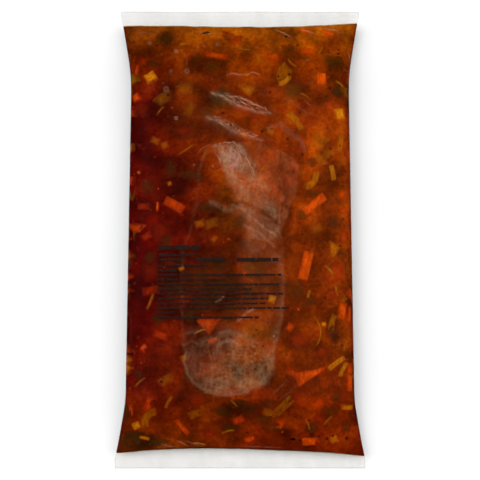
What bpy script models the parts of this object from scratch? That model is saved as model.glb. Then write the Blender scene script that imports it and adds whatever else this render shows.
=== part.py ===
"""A clear pillow bag of frozen minestrone, lying flat on its back.

The bag is a tube of clear film, welded straight across at both ends. Its flat width never changes,
so wherever the soup makes it thick it also gets narrower: the thickness of every cross-section is
worked out from the width that is left. The underside is flat where it lies on the table.

Metres, +Z up. +X is to the right and +Y runs up the bag, from the foot weld to the head weld.
The origin is under the middle of the bag, on the table.
"""

import math

import bmesh
import bpy
import numpy as np
from mathutils import Vector

# ---- named sizes, in metres ------------------------------------------------------------------
FILM_WIDTH = 0.210  # the empty tube, lying flat
BAG_LENGTH = 0.398  # from one cut end to the other
FIN_THICKNESS = 0.0005  # two plies of welded film
HEAD_OPENS = 0.0038  # distance from the cut end at which the two plies part, head end
FOOT_OPENS = 0.0075  # the same, foot end
TAPER = 0.345  # width lost for each metre along the bag, near a weld
HEAD_DEFICIT = 0.02085  # flat width less filled width, carried to the head end
DEFICIT_FALL = 0.01217  # and how fast it falls towards the foot
HEAD_SOFT = 0.0022  # how gently the taper runs into the body, head end
FOOT_SOFT = 0.0007  # the same, foot end, where the bag has a clear corner
WELD_HEIGHT = 0.0100  # of the welds above the table
WELD_LINE = 0.0085  # where the fin starts, from the cut end
LIFT_LENGTH = 0.044  # how far in from the fin the underside has left the table
FIN_DROOP = 0.0016  # how far the free edge of a fin hangs
FIN_WAVE = 0.0007  # height of the waves along a fin
SIDE_SHARE = 0.45  # height of the widest line, as a share of the thickness
TOP_POWER, UNDER_POWER = 4.3, 8.0  # how square the top and the underside are across the bag
SWELL = 0.0007  # height of the slow waves in the frozen top
GATHER = 0.0005  # height of the gathers that run in from each weld
GATHER_REACH = 0.050  # and how far from the cut end they have died away
SINK = 0.0003  # how much of the underside the table takes off, so that it is truly flat

HALF_RING = 34  # steps across the top, and again across the underside
ROUND = 480  # points of the curve from which those steps are taken


def soft_least(a, b, k):
    """The lesser of two lengths, with the corner between them rounded over about k."""
    return -k * math.log(math.exp(-a / k) + math.exp(-b / k))


def deficit(s):
    """Flat width less filled width at s from the head's cut end."""
    body = HEAD_DEFICIT - DEFICIT_FALL * s
    head = max(TAPER * (s - HEAD_OPENS), 0.0)
    foot = max(TAPER * (BAG_LENGTH - s - FOOT_OPENS), 0.0)
    value = soft_least(soft_least(body, head, HEAD_SOFT), foot, FOOT_SOFT)
    # The soft corner also lowers the straight part a little near zero, so it is faded in there.
    return max(value, 0.0) if min(head, foot) > 0 else 0.0


def half_curve(power, sign):
    """Half a cross-section from its right side to its left, one unit wide each way and one high."""
    turn = np.linspace(0.0, math.pi, ROUND)
    c, h = np.cos(turn), np.sin(turn)
    x = np.sign(c) * np.abs(c) ** (2 / power)
    z = sign * np.abs(h) ** (2 / power)
    x[0], z[0], x[-1], z[-1] = 1.0, 0.0, -1.0, 0.0
    return x, z


TOP = half_curve(TOP_POWER, 1)
UNDER = half_curve(UNDER_POWER, -1)


def girth(half_width, thickness):
    """Length of film round a cross-section."""
    total = 0.0
    for (x, z), share in ((TOP, 1 - SIDE_SHARE), (UNDER, SIDE_SHARE)):
        total += np.hypot(np.diff(x) * half_width, np.diff(z) * thickness * share).sum()
    return total


def thickness_at(half_width):
    """The thickness that uses up all of the film round a cross-section of this width."""
    low, high = FIN_THICKNESS, 0.08
    for _ in range(40):
        middle = (low + high) / 2
        if girth(half_width, middle) > 2 * FILM_WIDTH:
            high = middle
        else:
            low = middle
    return low


def eased(u):
    u = min(max(u, 0.0), 1.0)
    return u * u * (3 - 2 * u)


def waves(x, y, share):
    """Slow waves of the frozen top: a few long swells, none near the welds."""
    a = math.sin(31.0 * x + 13.0 * y + 0.7) * math.cos(19.0 * y - 9.0 * x)
    b = math.sin(52.0 * y + 24.0 * x + 2.1) * 0.5
    return SWELL * share * (a + b)


def gathers(x, y, end):
    """Shallow folds that fan in from a weld, where the flat film starts to fill."""
    share = eased((end - WELD_LINE) / 0.010) * (1 - eased((end - 0.022) / (GATHER_REACH - 0.022)))
    spread = x * (1 - 0.9 * end)
    phase = 0.4 if y > 0 else 2.6
    fold = math.sin(205.0 * spread + phase) + 0.6 * math.sin(331.0 * spread - 2.0 * phase)
    return GATHER * share * fold


def fin_wave(x, y, out):
    """Waves along a fin, growing from nothing at the weld to the free edge."""
    phase = 1.3 if y > 0 else 4.0
    return FIN_WAVE * out * (math.sin(58.0 * x + phase) + 0.5 * math.sin(121.0 * x - phase))


def even_steps(x, z, half_width, height, count):
    """count + 1 points of a half curve, closer together where it turns."""
    px, pz = x * half_width, z * height
    step = np.hypot(np.diff(px), np.diff(pz))
    turn = np.abs(np.diff(np.unwrap(np.arctan2(np.diff(pz), np.diff(px)))))
    turn = np.append(turn, turn[-1])
    weight = step + turn * 0.012 * min(1.0, abs(height) / 0.006)
    along = np.concatenate([[0.0], np.cumsum(weight)])
    wanted = np.linspace(0.0, along[-1], count + 1)
    return np.interp(wanted, along, px), np.interp(wanted, along, pz)


def stations():
    """Distances from the head's cut end at which the bag is cut into cross-sections."""
    close = [0.0, 1.5, 3.5, 5.5, 7.5, 9.5, 12.0, 15.0, 18.5, 22.5, 27.0, 32.0, 37.0, 42.0, 47.0]
    close += [52.0, 56.0, 60.0, 64.0, 68.5, 74.0, 81.0, 90.0]
    head = [0.001 * v for v in close]
    foot = [BAG_LENGTH - v for v in reversed(head[:-1])]
    middle = np.linspace(head[-1], foot[0], 20)[1:-1]
    return head + [float(v) for v in middle] + foot


def ring(s):
    """The points of one cross-section, right side first, over the top and back underneath."""
    y = BAG_LENGTH / 2 - s
    end = min(s, BAG_LENGTH - s)  # distance from the nearer cut end
    half_width = (FILM_WIDTH - deficit(s)) / 2
    thickness = max(thickness_at(half_width), FIN_THICKNESS)
    inward = min(max((end - WELD_LINE) / LIFT_LENGTH, 0.0), 1.0)
    lift = WELD_HEIGHT * (1 - inward) ** 2.2
    out = min(max(1 - end / WELD_LINE, 0.0), 1.0)
    lift -= FIN_DROOP * out * out
    body = eased((end - 0.03) / 0.05)
    side = lift + SIDE_SHARE * thickness - SINK * body
    points = []
    for (x, z), share in ((TOP, 1 - SIDE_SHARE), (UNDER, SIDE_SHARE)):
        px, pz = even_steps(x, z, half_width, thickness * share, HALF_RING)
        for i in range(HALF_RING):
            px_i, pz_i = float(px[i]), float(pz[i])
            if z is UNDER[1]:
                px_i = -px_i  # the underside runs back from left to right
            height = side + pz_i
            if z is TOP[1]:
                flat = eased((1 - abs(px_i) / half_width) / 0.25)
                height += waves(px_i, y, body * flat) + gathers(px_i, y, end) * flat
            height += fin_wave(px_i, y, out)
            points.append(Vector((px_i, y, max(height, 0.0))))
    return points


def bag_mesh():
    """One closed skin through all the cross-sections, with a cap on each cut end."""
    bm = bmesh.new()
    rings = [[bm.verts.new(p) for p in ring(s)] for s in stations()]
    count = len(rings[0])
    for near, far in zip(rings, rings[1:]):
        for i in range(count):
            j = (i + 1) % count
            bm.faces.new((near[i], near[j], far[j], far[i]))
    for cap in (rings[0], rings[-1]):
        for i in range(HALF_RING):  # strips from the top ply to the under ply
            corners = [cap[i], cap[i + 1], cap[(-i - 1) % count], cap[-i % count]]
            distinct = list(dict.fromkeys(corners))
            if len(distinct) > 2:
                bm.faces.new(distinct)
    bmesh.ops.recalc_face_normals(bm, faces=bm.faces)
    bmesh.ops.triangulate(bm, faces=bm.faces, quad_method="SHORT_EDGE")
    mesh = bpy.data.meshes.new("soup_pouch")
    bm.to_mesh(mesh)
    bm.free()
    return mesh


def soup_material():
    material = bpy.data.materials.new("minestrone_in_film")
    material.use_nodes = True
    shader = material.node_tree.nodes["Principled BSDF"]
    shader.inputs["Base Color"].default_value = (0.16, 0.022, 0.002, 1.0)
    shader.inputs["Roughness"].default_value = 0.28
    shader.inputs["Metallic"].default_value = 0.0
    shader.inputs["Coat Weight"].default_value = 0.6
    return material


for old in list(bpy.data.objects):
    bpy.data.objects.remove(old, do_unlink=True)

pouch = bpy.data.objects.new("soup_pouch", bag_mesh())
bpy.context.scene.collection.objects.link(pouch)
pouch.data.materials.append(soup_material())
pouch.data.shade_smooth()
pouch.data.set_sharp_from_angle(angle=math.radians(50))
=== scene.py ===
"""The looks of a clear pillow bag of frozen minestrone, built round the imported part.

The bag is a loft: every cross-section is a squared oval whose film length never changes. The same
loft, a little smaller each time, gives the film, the broth in it and the dark heart of the soup.
The cut vegetables are real pieces frozen into the broth, most of them close under the film.
"""

import math

import bpy
import numpy as np
from mathutils import Matrix, Vector


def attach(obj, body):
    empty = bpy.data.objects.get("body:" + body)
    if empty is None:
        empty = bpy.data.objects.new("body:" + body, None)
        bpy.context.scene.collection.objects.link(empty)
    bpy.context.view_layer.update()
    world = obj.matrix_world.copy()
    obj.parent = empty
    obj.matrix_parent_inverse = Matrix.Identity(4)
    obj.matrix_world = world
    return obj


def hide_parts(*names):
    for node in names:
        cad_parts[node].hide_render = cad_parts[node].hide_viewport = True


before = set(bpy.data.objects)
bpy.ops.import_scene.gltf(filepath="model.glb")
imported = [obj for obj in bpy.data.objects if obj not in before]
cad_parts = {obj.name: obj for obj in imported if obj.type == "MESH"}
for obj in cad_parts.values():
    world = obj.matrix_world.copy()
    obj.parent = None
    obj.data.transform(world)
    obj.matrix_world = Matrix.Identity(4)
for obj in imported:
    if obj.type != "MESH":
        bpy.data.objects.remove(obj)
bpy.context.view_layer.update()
NODE = "soup_pouch"

# ---- sizes of the bag, in metres, as in the part ----------------------------------------------
FILM_WIDTH = 0.210
BAG_LENGTH = 0.398
FIN_THICKNESS = 0.0005
HEAD_OPENS, FOOT_OPENS = 0.0038, 0.0075
TAPER = 0.345
HEAD_DEFICIT, DEFICIT_FALL = 0.02085, 0.01217
HEAD_SOFT, FOOT_SOFT = 0.0022, 0.0007
WELD_HEIGHT, WELD_LINE, LIFT_LENGTH = 0.0100, 0.0085, 0.044
FIN_DROOP, FIN_WAVE = 0.0016, 0.0007
SIDE_SHARE = 0.45
TOP_POWER, UNDER_POWER = 4.3, 8.0
SWELL, GATHER, GATHER_REACH, SINK = 0.0007, 0.0005, 0.050, 0.0003

GAP = 0.00035  # from the film to the broth, where air lets them part
HEART = 0.0058  # from the broth's surface to the dark heart

# ---- camera, from the photograph --------------------------------------------------------------
TILT = math.radians(9.0)
DISTANCE = 1.14
LOOK = np.array([0.0, -0.0067, 0.018])
FOCAL = 1335.0  # in pixels of a 480 by 480 frame
EYE = LOOK + DISTANCE * np.array([0.0, -math.sin(TILT), math.cos(TILT)])
RIGHT = np.array([1.0, 0.0, 0.0])
UP = np.array([0.0, math.cos(TILT), math.sin(TILT)])
AHEAD = (LOOK - EYE) / DISTANCE
PIXEL = DISTANCE / FOCAL  # size of a pixel on the bag

rng = np.random.default_rng(20943)


# ---- small maths -------------------------------------------------------------------------------
def eased(u):
    u = np.clip(u, 0.0, 1.0)
    return u * u * (3 - 2 * u)


PERM = np.random.default_rng(7).permutation(256)
PERM = np.concatenate([PERM, PERM, PERM])
GRADS = np.random.default_rng(8).normal(size=(256, 3))
GRADS /= np.linalg.norm(GRADS, axis=1)[:, None]


def noise(p, scale, seed=0):
    """Smooth noise from about -1 to 1 at points p, with features of the size given, in metres."""
    q = np.asarray(p, float) / scale + np.array([seed * 17.13, seed * 5.71, seed * 31.7]) + 97.0
    i = np.floor(q).astype(int)
    f = q - i
    w = f * f * f * (f * (f * 6 - 15) + 10)
    total = 0.0
    for dx in (0, 1):
        for dy in (0, 1):
            for dz in (0, 1):
                h = PERM[
                    PERM[PERM[(i[..., 0] + dx) & 255] + ((i[..., 1] + dy) & 255)]
                    + ((i[..., 2] + dz) & 255)
                ]
                g = GRADS[h]
                d = g[..., 0] * (f[..., 0] - dx) + g[..., 1] * (f[..., 1] - dy) + g[..., 2] * (f[..., 2] - dz)
                k = (
                    (w[..., 0] if dx else 1 - w[..., 0])
                    * (w[..., 1] if dy else 1 - w[..., 1])
                    * (w[..., 2] if dz else 1 - w[..., 2])
                )
                total = total + k * d
    return total * 1.6


def clouds(p, scale, octaves=3, seed=0):
    """Noise with finer noise on it."""
    total, size, height = 0.0, scale, 1.0
    for k in range(octaves):
        total = total + height * noise(p, size, seed + 3 * k)
        size, height = size / 2.1, height * 0.5
    return total


def flat_points(x, y, z=0.0):
    return np.stack([x, y, np.full_like(x, z)], axis=-1)


# ---- the loft ----------------------------------------------------------------------------------
def soft_least(a, b, k):
    return -k * np.log(np.exp(-a / k) + np.exp(-b / k))


def deficit(s):
    body = HEAD_DEFICIT - DEFICIT_FALL * s
    head = np.maximum(TAPER * (s - HEAD_OPENS), 0.0)
    foot = np.maximum(TAPER * (BAG_LENGTH - s - FOOT_OPENS), 0.0)
    value = soft_least(soft_least(body, head, HEAD_SOFT), foot, FOOT_SOFT)
    return np.where(np.minimum(head, foot) > 0, np.maximum(value, 0.0), 0.0)


def half_curve(power, count=720):
    turn = np.linspace(0.0, math.pi, count)
    c, h = np.cos(turn), np.sin(turn)
    x, z = np.sign(c) * np.abs(c) ** (2 / power), np.abs(h) ** (2 / power)
    x[0], z[0], x[-1], z[-1] = 1.0, 0.0, -1.0, 0.0
    return x, z


CURVES = {"top": half_curve(TOP_POWER), "under": half_curve(UNDER_POWER)}


def thickness_table(stations):
    """The thickness that uses up the film round each cross-section, by halving."""
    half = (FILM_WIDTH - deficit(stations)) / 2
    low, high = np.full_like(stations, FIN_THICKNESS), np.full_like(stations, 0.08)
    for _ in range(36):
        middle = (low + high) / 2
        length = 0.0
        for name, share in (("top", 1 - SIDE_SHARE), ("under", SIDE_SHARE)):
            x, z = CURVES[name]
            length = length + np.hypot(
                np.diff(x)[None] * half[:, None], np.diff(z)[None] * (middle * share)[:, None]
            ).sum(1)
        over = length > 2 * FILM_WIDTH
        high, low = np.where(over, middle, high), np.where(over, low, middle)
    return low


STATIONS = np.linspace(0.0, BAG_LENGTH, 900)
THICK = thickness_table(STATIONS)


def even_curve(name, height):
    """A half curve as functions of a share from 0 to 1, closer together where it turns."""
    x, z = CURVES[name]
    px, pz = x * 0.096, z * height
    step = np.hypot(np.diff(px), np.diff(pz))
    turn = np.abs(np.diff(np.unwrap(np.arctan2(np.diff(pz), np.diff(px)))))
    along = np.concatenate([[0.0], np.cumsum(step + np.append(turn, turn[-1]) * 0.008)])
    return along / along[-1], x, z


EVEN = {"top": even_curve("top", 0.0165), "under": even_curve("under", 0.0135)}


def end_of(s):
    return np.minimum(s, BAG_LENGTH - s)


def half_width(s):
    return (FILM_WIDTH - deficit(s)) / 2


def lowest(s):
    """Height of the underside at the middle of a cross-section."""
    end = end_of(s)
    inward = np.clip((end - WELD_LINE) / LIFT_LENGTH, 0.0, 1.0)
    out = np.clip(1 - end / WELD_LINE, 0.0, 1.0)
    return WELD_HEIGHT * (1 - inward) ** 2.2 - FIN_DROOP * out * out - SINK * eased((end - 0.03) / 0.05)


def fin_wave(x, y, out):
    phase = np.where(y > 0, 1.3, 4.0)
    return FIN_WAVE * out * (np.sin(58.0 * x + phase) + 0.5 * np.sin(121.0 * x - phase))


LUMP_STEP = 0.0015
LUMP_X, LUMP_Y = np.arange(-0.108, 0.109, LUMP_STEP), np.arange(-0.201, 0.202, LUMP_STEP)
LUMPS = 0.00022 * clouds(flat_points(*np.meshgrid(LUMP_X, LUMP_Y, indexing="ij")), 0.022, 3, 5)


def lumps_at(x, y):
    """Low lumps of the frozen top, read between the points of a table."""
    a = np.clip((x - LUMP_X[0]) / LUMP_STEP, 0, len(LUMP_X) - 1.001)
    b = np.clip((y - LUMP_Y[0]) / LUMP_STEP, 0, len(LUMP_Y) - 1.001)
    i, j = a.astype(int), b.astype(int)
    f, g = a - i, b - j
    f, g = f * f * (3 - 2 * f), g * g * (3 - 2 * g)
    near = LUMPS[i, j] * (1 - g) + LUMPS[i, j + 1] * g
    far = LUMPS[i + 1, j] * (1 - g) + LUMPS[i + 1, j + 1] * g
    return near * (1 - f) + far * f


def relief(x, y, half):
    """How far the top stands over the plain loft: slow swells, and gathers near the welds."""
    s = BAG_LENGTH / 2 - y
    end = end_of(s)
    body = eased((end - 0.03) / 0.05)
    flat = eased((1 - np.abs(x) / half) / 0.25)
    a = np.sin(31.0 * x + 13.0 * y + 0.7) * np.cos(19.0 * y - 9.0 * x)
    b = np.sin(52.0 * y + 24.0 * x + 2.1) * 0.5
    share = eased((end - WELD_LINE) / 0.010) * (1 - eased((end - 0.022) / (GATHER_REACH - 0.022)))
    spread = x * (1 - 0.9 * end)
    phase = np.where(y > 0, 0.4, 2.6)
    fold = np.sin(205.0 * spread + phase) + 0.6 * np.sin(331.0 * spread - 2.0 * phase)
    lumps = lumps_at(x, y) * eased((end - 0.012) / 0.03)
    return (SWELL * body * (a + b) + GATHER * share * fold + lumps) * flat


def loft(side, share, s, inset=0.0, opened=True, side_pull=1.0):
    """Points of the loft: side is top or under, share runs from the right side to the left, and s
    is the distance from the head's cut end. inset makes it smaller all round. With opened False
    the two plies lie together near the welds, as the film does."""
    share, s = np.broadcast_arrays(np.asarray(share, float), np.asarray(s, float))
    along, cx, cz = EVEN[side]
    ux, uz = np.interp(share, along, cx), np.interp(share, along, cz)
    thick = np.interp(s, STATIONS, THICK)
    half = half_width(s)
    end = end_of(s)
    low = lowest(s)
    line = low + SIDE_SHARE * thick
    if not opened:
        part = eased((end - 0.0048) / 0.0080)
        thick = thick * part + 0.00035 * (1 - part)
    part = (1 - SIDE_SHARE) if side == "top" else SIDE_SHARE
    height = np.maximum(thick * part - inset, thick * part * 0.12)
    x = ux * np.maximum(half - inset * side_pull, half * 0.5)
    y = BAG_LENGTH / 2 - s
    out = np.clip(1 - end / WELD_LINE, 0.0, 1.0)
    if side == "top":
        z = line + uz * height + relief(x, y, half)
    else:
        z = line - uz * height
    z = np.maximum(z + fin_wave(x, y, out), inset)
    return np.stack([x, y, z], axis=-1)


def top_height(x, y):
    """Height of the film's top over a place on the table."""
    s = BAG_LENGTH / 2 - y
    half = half_width(s)
    thick = np.interp(s, STATIONS, THICK)
    u = np.clip(np.abs(x) / half, 0.0, 0.9999)
    rise = (1 - u**TOP_POWER) ** (1 / TOP_POWER)
    end = end_of(s)
    out = np.clip(1 - end / WELD_LINE, 0.0, 1.0)
    return (
        lowest(s)
        + SIDE_SHARE * thick
        + (1 - SIDE_SHARE) * thick * rise
        + relief(x, y, half)
        + fin_wave(x, y, out)
    )


def seen_at(px, py):
    """The point of the film's top that the photograph shows at a pixel of its 480 by 480 frame."""
    px, py = np.asarray(px, float), np.asarray(py, float)
    way = AHEAD + ((px - 240) / FOCAL)[..., None] * RIGHT + ((240 - py) / FOCAL)[..., None] * UP
    z = np.full(px.shape, 0.028)
    for _ in range(12):
        p = EYE + way * ((z - EYE[2]) / way[..., 2])[..., None]
        z = 0.5 * z + 0.5 * top_height(p[..., 0], p[..., 1])
    return p


def facing(p):
    """The way that the film's top faces over points p."""
    e = 0.0008
    x, y = p[..., 0], p[..., 1]
    dx = (top_height(x + e, y) - top_height(x - e, y)) / (2 * e)
    dy = (top_height(x, y + e) - top_height(x, y - e)) / (2 * e)
    n = np.stack([-dx, -dy, np.ones_like(dx)], axis=-1)
    return n / np.linalg.norm(n, axis=-1)[..., None]


# ---- meshes ------------------------------------------------------------------------------------
def make_object(name, verts, faces, attributes=None, sharp=None):
    """A mesh object from arrays. faces is a list of arrays of triangles or quads."""
    mesh = bpy.data.meshes.new(name)
    verts = np.asarray(verts, np.float32)
    mesh.vertices.add(len(verts))
    mesh.vertices.foreach_set("co", verts.ravel())
    faces = [np.asarray(f, np.int32) for f in faces if len(f)]
    corners = np.concatenate([f.ravel() for f in faces])
    totals = np.concatenate([np.full(len(f), f.shape[1]) for f in faces])
    mesh.loops.add(len(corners))
    mesh.loops.foreach_set("vertex_index", corners)
    mesh.polygons.add(len(totals))
    mesh.polygons.foreach_set("loop_start", np.concatenate([[0], np.cumsum(totals)[:-1]]).astype(np.int32))
    for key, values in (attributes or {}).items():
        layer = mesh.attributes.new(key, "FLOAT", "POINT")
        layer.data.foreach_set("value", np.asarray(values, np.float32))
    mesh.update(calc_edges=True)
    mesh.validate()
    mesh.shade_smooth()
    if sharp is not None:
        mesh.set_sharp_from_angle(angle=math.radians(sharp))
    piece = bpy.data.objects.new(name, mesh)
    bpy.context.scene.collection.objects.link(piece)
    return piece


def turned_out(verts, faces):
    """The same faces, all turned over if the body they close is inside out."""
    volume = 0.0
    for f in faces:
        a = verts[f[:, 0]]
        for k in range(1, f.shape[1] - 1):
            volume += np.einsum("ij,ij->", a, np.cross(verts[f[:, k]], verts[f[:, k + 1]]))
    return faces if volume > 0 else [f[:, ::-1] for f in faces]


def skin(rings):
    """One closed body through rings of points: top from right to left, then back underneath."""
    n, m = rings.shape[:2]
    verts = rings.reshape(-1, 3)
    i, j = np.meshgrid(np.arange(n - 1), np.arange(m), indexing="ij")
    k = (j + 1) % m
    quads = np.stack([i * m + j, i * m + k, (i + 1) * m + k, (i + 1) * m + j], axis=-1).reshape(-1, 4)
    half = m // 2
    caps, ends = [], []
    for base in (0, (n - 1) * m):
        flip = base == 0
        for c in range(half):
            a, b, d, e = base + c, base + c + 1, base + (m - c - 1) % m, base + (m - c) % m
            if c == 0:
                tri = [a, b, d]
                ends.append(tri[::-1] if flip else tri)
            elif c == half - 1:
                tri = [a, b, e]
                ends.append(tri[::-1] if flip else tri)
            else:
                quad = [a, b, d, e]
                caps.append(quad[::-1] if flip else quad)
    faces = [quads, np.array(caps), np.array(ends)]
    return verts, turned_out(verts, faces)


def loop_of(n, s, inset=0.0, opened=True, side_pull=1.0):
    """Rings at distances s, which may differ round the ring: (rings, 2n points, 3)."""
    share = np.linspace(0.0, 1.0, n + 1)
    inset = np.broadcast_to(inset, s.shape)
    top = loft("top", share[None, :-1], s[:, :n], inset[:, :n], opened, side_pull)
    back = share[::-1]
    under = loft("under", back[None, :-1], s[:, n:], inset[:, n:], opened, side_pull)
    return np.concatenate([top, under], axis=1)


# Where the soup ends under each fin: across the bag and in from the cut end, in millimetres.
HEAD_LINE = [(-105, 13.3), (-86, 13.5), (-40, 13.9), (-30, 14.7), (0, 14.6), (28, 14.9), (71, 13.4), (105, 10.6)]
FOOT_LINE = [(-105, 11.6), (-88, 13.7), (-67, 15.4), (-33, 16.4), (0, 15.9), (49, 14.0), (80, 12.4), (105, 9.1)]


def soup_line(points, x):
    px, ps = np.array(points, float).T / 1000
    raw = np.interp(np.linspace(-0.105, 0.105, 85), px, ps)
    soft = np.convolve(np.pad(raw, 4, mode="edge"), np.ones(9) / 9, mode="valid")
    ragged = 0.00018 * noise(flat_points(x, x * 0), 0.006, 3) + 0.00010 * noise(flat_points(x, x * 0), 0.0021, 4)
    return np.interp(x, np.linspace(-0.105, 0.105, 85), soft) + ragged


def filled(name, n, lines, inset, pull, nose, extra=None, side_pull=1.0, under=None):
    """A closed body of what fills the bag, from one soup line to the other, with rounded noses.
    pull is how far behind the soup line it starts; under is the inset of the underside."""
    share = np.concatenate([np.linspace(0, 1, n + 1)[:-1], np.linspace(1, 0, n + 1)[:-1]])
    x = np.where(
        np.arange(2 * n) < n,
        np.interp(share, EVEN["top"][0], EVEN["top"][1]),
        np.interp(share, EVEN["under"][0], EVEN["under"][1]),
    ) * 0.1035
    head = soup_line(HEAD_LINE, x) + pull + nose
    foot = BAG_LENGTH - soup_line(FOOT_LINE, x) - pull - nose
    v = np.linspace(0.0, 1.0, lines)
    v = v + 0.06 * np.sin(2 * math.pi * v) * -0.5  # a little closer together at the ends
    s = head[None] + (foot - head)[None] * v[:, None]
    if under is not None:
        u = np.clip(np.abs(x) / 0.1035, 0, 1)
        low = 0.0013 + (under - 0.0013) * (1 - u**4)  # closer to the film at the lower edges
        inset = np.where(np.arange(2 * n) < n, inset, inset + (low - inset) * eased((1 - u) / 0.04))[None]
    inset = np.minimum(inset, 0.34 * np.interp(s, STATIONS, THICK) / 2)
    rings = loop_of(n, s, inset, False, side_pull)
    if extra is not None:
        rings = extra(rings, s)
    noses = []
    for ring, sign in ((rings[0], 1), (rings[-1], -1)):
        other = ring[(2 * n - np.arange(2 * n)) % (2 * n)]
        middle = (ring + other) / 2
        steps = []
        for turn in np.linspace(0, math.pi / 2, 7)[1:]:
            k = max(math.cos(turn), 0.12)
            r = middle + (ring - middle) * k
            r[:, 1] += sign * nose * math.sin(turn)
            steps.append(r)
        noses.append(steps)
    rings = np.concatenate([np.array(noses[0][::-1]), rings, np.array(noses[1])])
    verts, faces = skin(rings)
    return make_object(name, verts, faces)


# ---- materials ---------------------------------------------------------------------------------
class Nodes:
    """A Principled material and short ways to put nodes behind its sockets."""

    def __init__(self, name, roughness=0.5, **sockets):
        self.material = bpy.data.materials.new(name)
        self.material.use_nodes = True
        self.tree = self.material.node_tree
        self.shader = self.tree.nodes["Principled BSDF"]
        self.shader.inputs["Roughness"].default_value = roughness
        for key, value in sockets.items():
            self.shader.inputs[key.replace("_", " ")].default_value = value
        self.place = self.tree.nodes.new("ShaderNodeTexCoord").outputs["Object"]

    def put(self, socket, source):
        self.tree.links.new(source, self.shader.inputs[socket])

    def stretched(self, x, y, z):
        node = self.tree.nodes.new("ShaderNodeMapping")
        node.inputs["Scale"].default_value = (x, y, z)
        self.tree.links.new(self.place, node.inputs["Vector"])
        return node.outputs[0]

    def noise(self, scale, detail=3.0, rough=0.55, distortion=0.0, place=None):
        node = self.tree.nodes.new("ShaderNodeTexNoise")
        node.inputs["Scale"].default_value = scale
        node.inputs["Detail"].default_value = detail
        node.inputs["Roughness"].default_value = rough
        node.inputs["Distortion"].default_value = distortion
        self.tree.links.new(place or self.place, node.inputs["Vector"])
        return node.outputs["Fac"]

    def attribute(self, name):
        node = self.tree.nodes.new("ShaderNodeAttribute")
        node.attribute_name = name
        return node.outputs["Fac"]

    def axis(self, index):
        node = self.tree.nodes.new("ShaderNodeSeparateXYZ")
        self.tree.links.new(self.place, node.inputs[0])
        return node.outputs[index]

    def ramp(self, fac, stops, smooth=False):
        node = self.tree.nodes.new("ShaderNodeValToRGB")
        node.color_ramp.interpolation = "EASE" if smooth else "LINEAR"
        for k, (at, colour) in enumerate(stops):
            e = node.color_ramp.elements[k] if k < 2 else node.color_ramp.elements.new(at)
            e.position = at
            e.color = (*colour, 1.0) if len(colour) == 3 else colour
        self.tree.links.new(fac, node.inputs["Fac"])
        return node.outputs["Color"]

    def mix(self, fac, a, b, blend="MIX"):
        node = self.tree.nodes.new("ShaderNodeMix")
        node.data_type = "RGBA"
        node.blend_type = blend
        for socket, value in ((node.inputs[0], fac), (node.inputs[6], a), (node.inputs[7], b)):
            if isinstance(value, (int, float)):
                socket.default_value = value
            elif isinstance(value, tuple):
                socket.default_value = (*value, 1.0)
            else:
                self.tree.links.new(value, socket)
        return node.outputs[2]

    def sums(self, operation, a, b=None, c=None, clamp=False):
        node = self.tree.nodes.new("ShaderNodeMath")
        node.operation = operation
        node.use_clamp = clamp
        for socket, value in zip(node.inputs, (a, b, c)):
            if value is None:
                continue
            if isinstance(value, (int, float)):
                socket.default_value = value
            else:
                self.tree.links.new(value, socket)
        return node.outputs[0]

    def bump(self, height, strength, distance):
        node = self.tree.nodes.new("ShaderNodeBump")
        node.inputs["Strength"].default_value = strength
        node.inputs["Distance"].default_value = distance
        self.tree.links.new(height, node.inputs["Height"])
        self.put("Normal", node.outputs["Normal"])


PATCHES = [  # place, half width and half height in pixels, and what the soup's colour is multiplied by
    (200, 286, 36, 36, (0.56, 0.78, 1.0)), (268, 411, 42, 12, (0.44, 0.40, 1.0)), (136, 440, 24, 9, (0.42, 0.66, 1.0)),
    # (218, 100) darkens the soup beside a crease: painted shade
    (218, 100, 18, 13, (0.62, 0.90, 1.0)), (322, 160, 20, 36, (1.22, 1.30, 1.0)), (226, 204, 13, 32, (0.80, 1.30, 1.0)),
    (300, 334, 20, 10, (1.30, 1.25, 1.0)), (331, 372, 16, 22, (1.30, 1.15, 1.0)), (212, 63, 22, 13, (0.76, 0.98, 1.0)),
    (222, 409, 28, 8, (0.82, 0.95, 1.0)), (218, 333, 22, 9, (0.58, 0.64, 1.0)), (333, 332, 13, 12, (0.72, 0.72, 1.0)),
    (180, 285, 15, 34, (0.62, 0.60, 1.0)), (297, 46, 18, 13, (1.26, 1.30, 1.0)), (334, 42, 12, 12, (0.82, 0.66, 1.0)),
    (182, 84, 20, 26, (1.16, 1.90, 1.0)), (182, 122, 20, 20, (1.00, 1.40, 1.0)), (333, 62, 12, 10, (0.62, 0.80, 1.0)), (294, 90, 13, 12, (0.68, 0.85, 1.0)), (166, 38, 9, 9, (0.62, 0.85, 1.0)),
    (246, 366, 30, 22, (0.80, 1.08, 1.0)), (262, 285, 22, 34, (0.78, 0.90, 1.0)), (262, 333, 22, 9, (0.84, 1.30, 1.0)),
    (272, 44, 38, 14, (1.14, 1.16, 1.0)),
]


def patch(m, base, x, y, uneven, px, py, wide, high, colour):
    """Changes the soup's colour softly in an uneven oval round one pixel of the photograph."""
    at = seen_at(px, py)
    dx = m.sums("MULTIPLY_ADD", x, 1 / (wide * PIXEL), -float(at[0]) / (wide * PIXEL))
    dy = m.sums("MULTIPLY_ADD", y, 1 / (high * PIXEL), -float(at[1]) / (high * PIXEL))
    far = m.sums("MULTIPLY_ADD", dx, dx, m.sums("MULTIPLY", dy, dy))
    far = m.sums("MULTIPLY_ADD", uneven, 1.6, m.sums("ADD", far, -0.8))
    share = m.sums("MULTIPLY_ADD", far, -0.9, 1.2, clamp=True)
    return m.mix(1.0, base, m.mix(share, (1.0, 1.0, 1.0), colour), "MULTIPLY")


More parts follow.
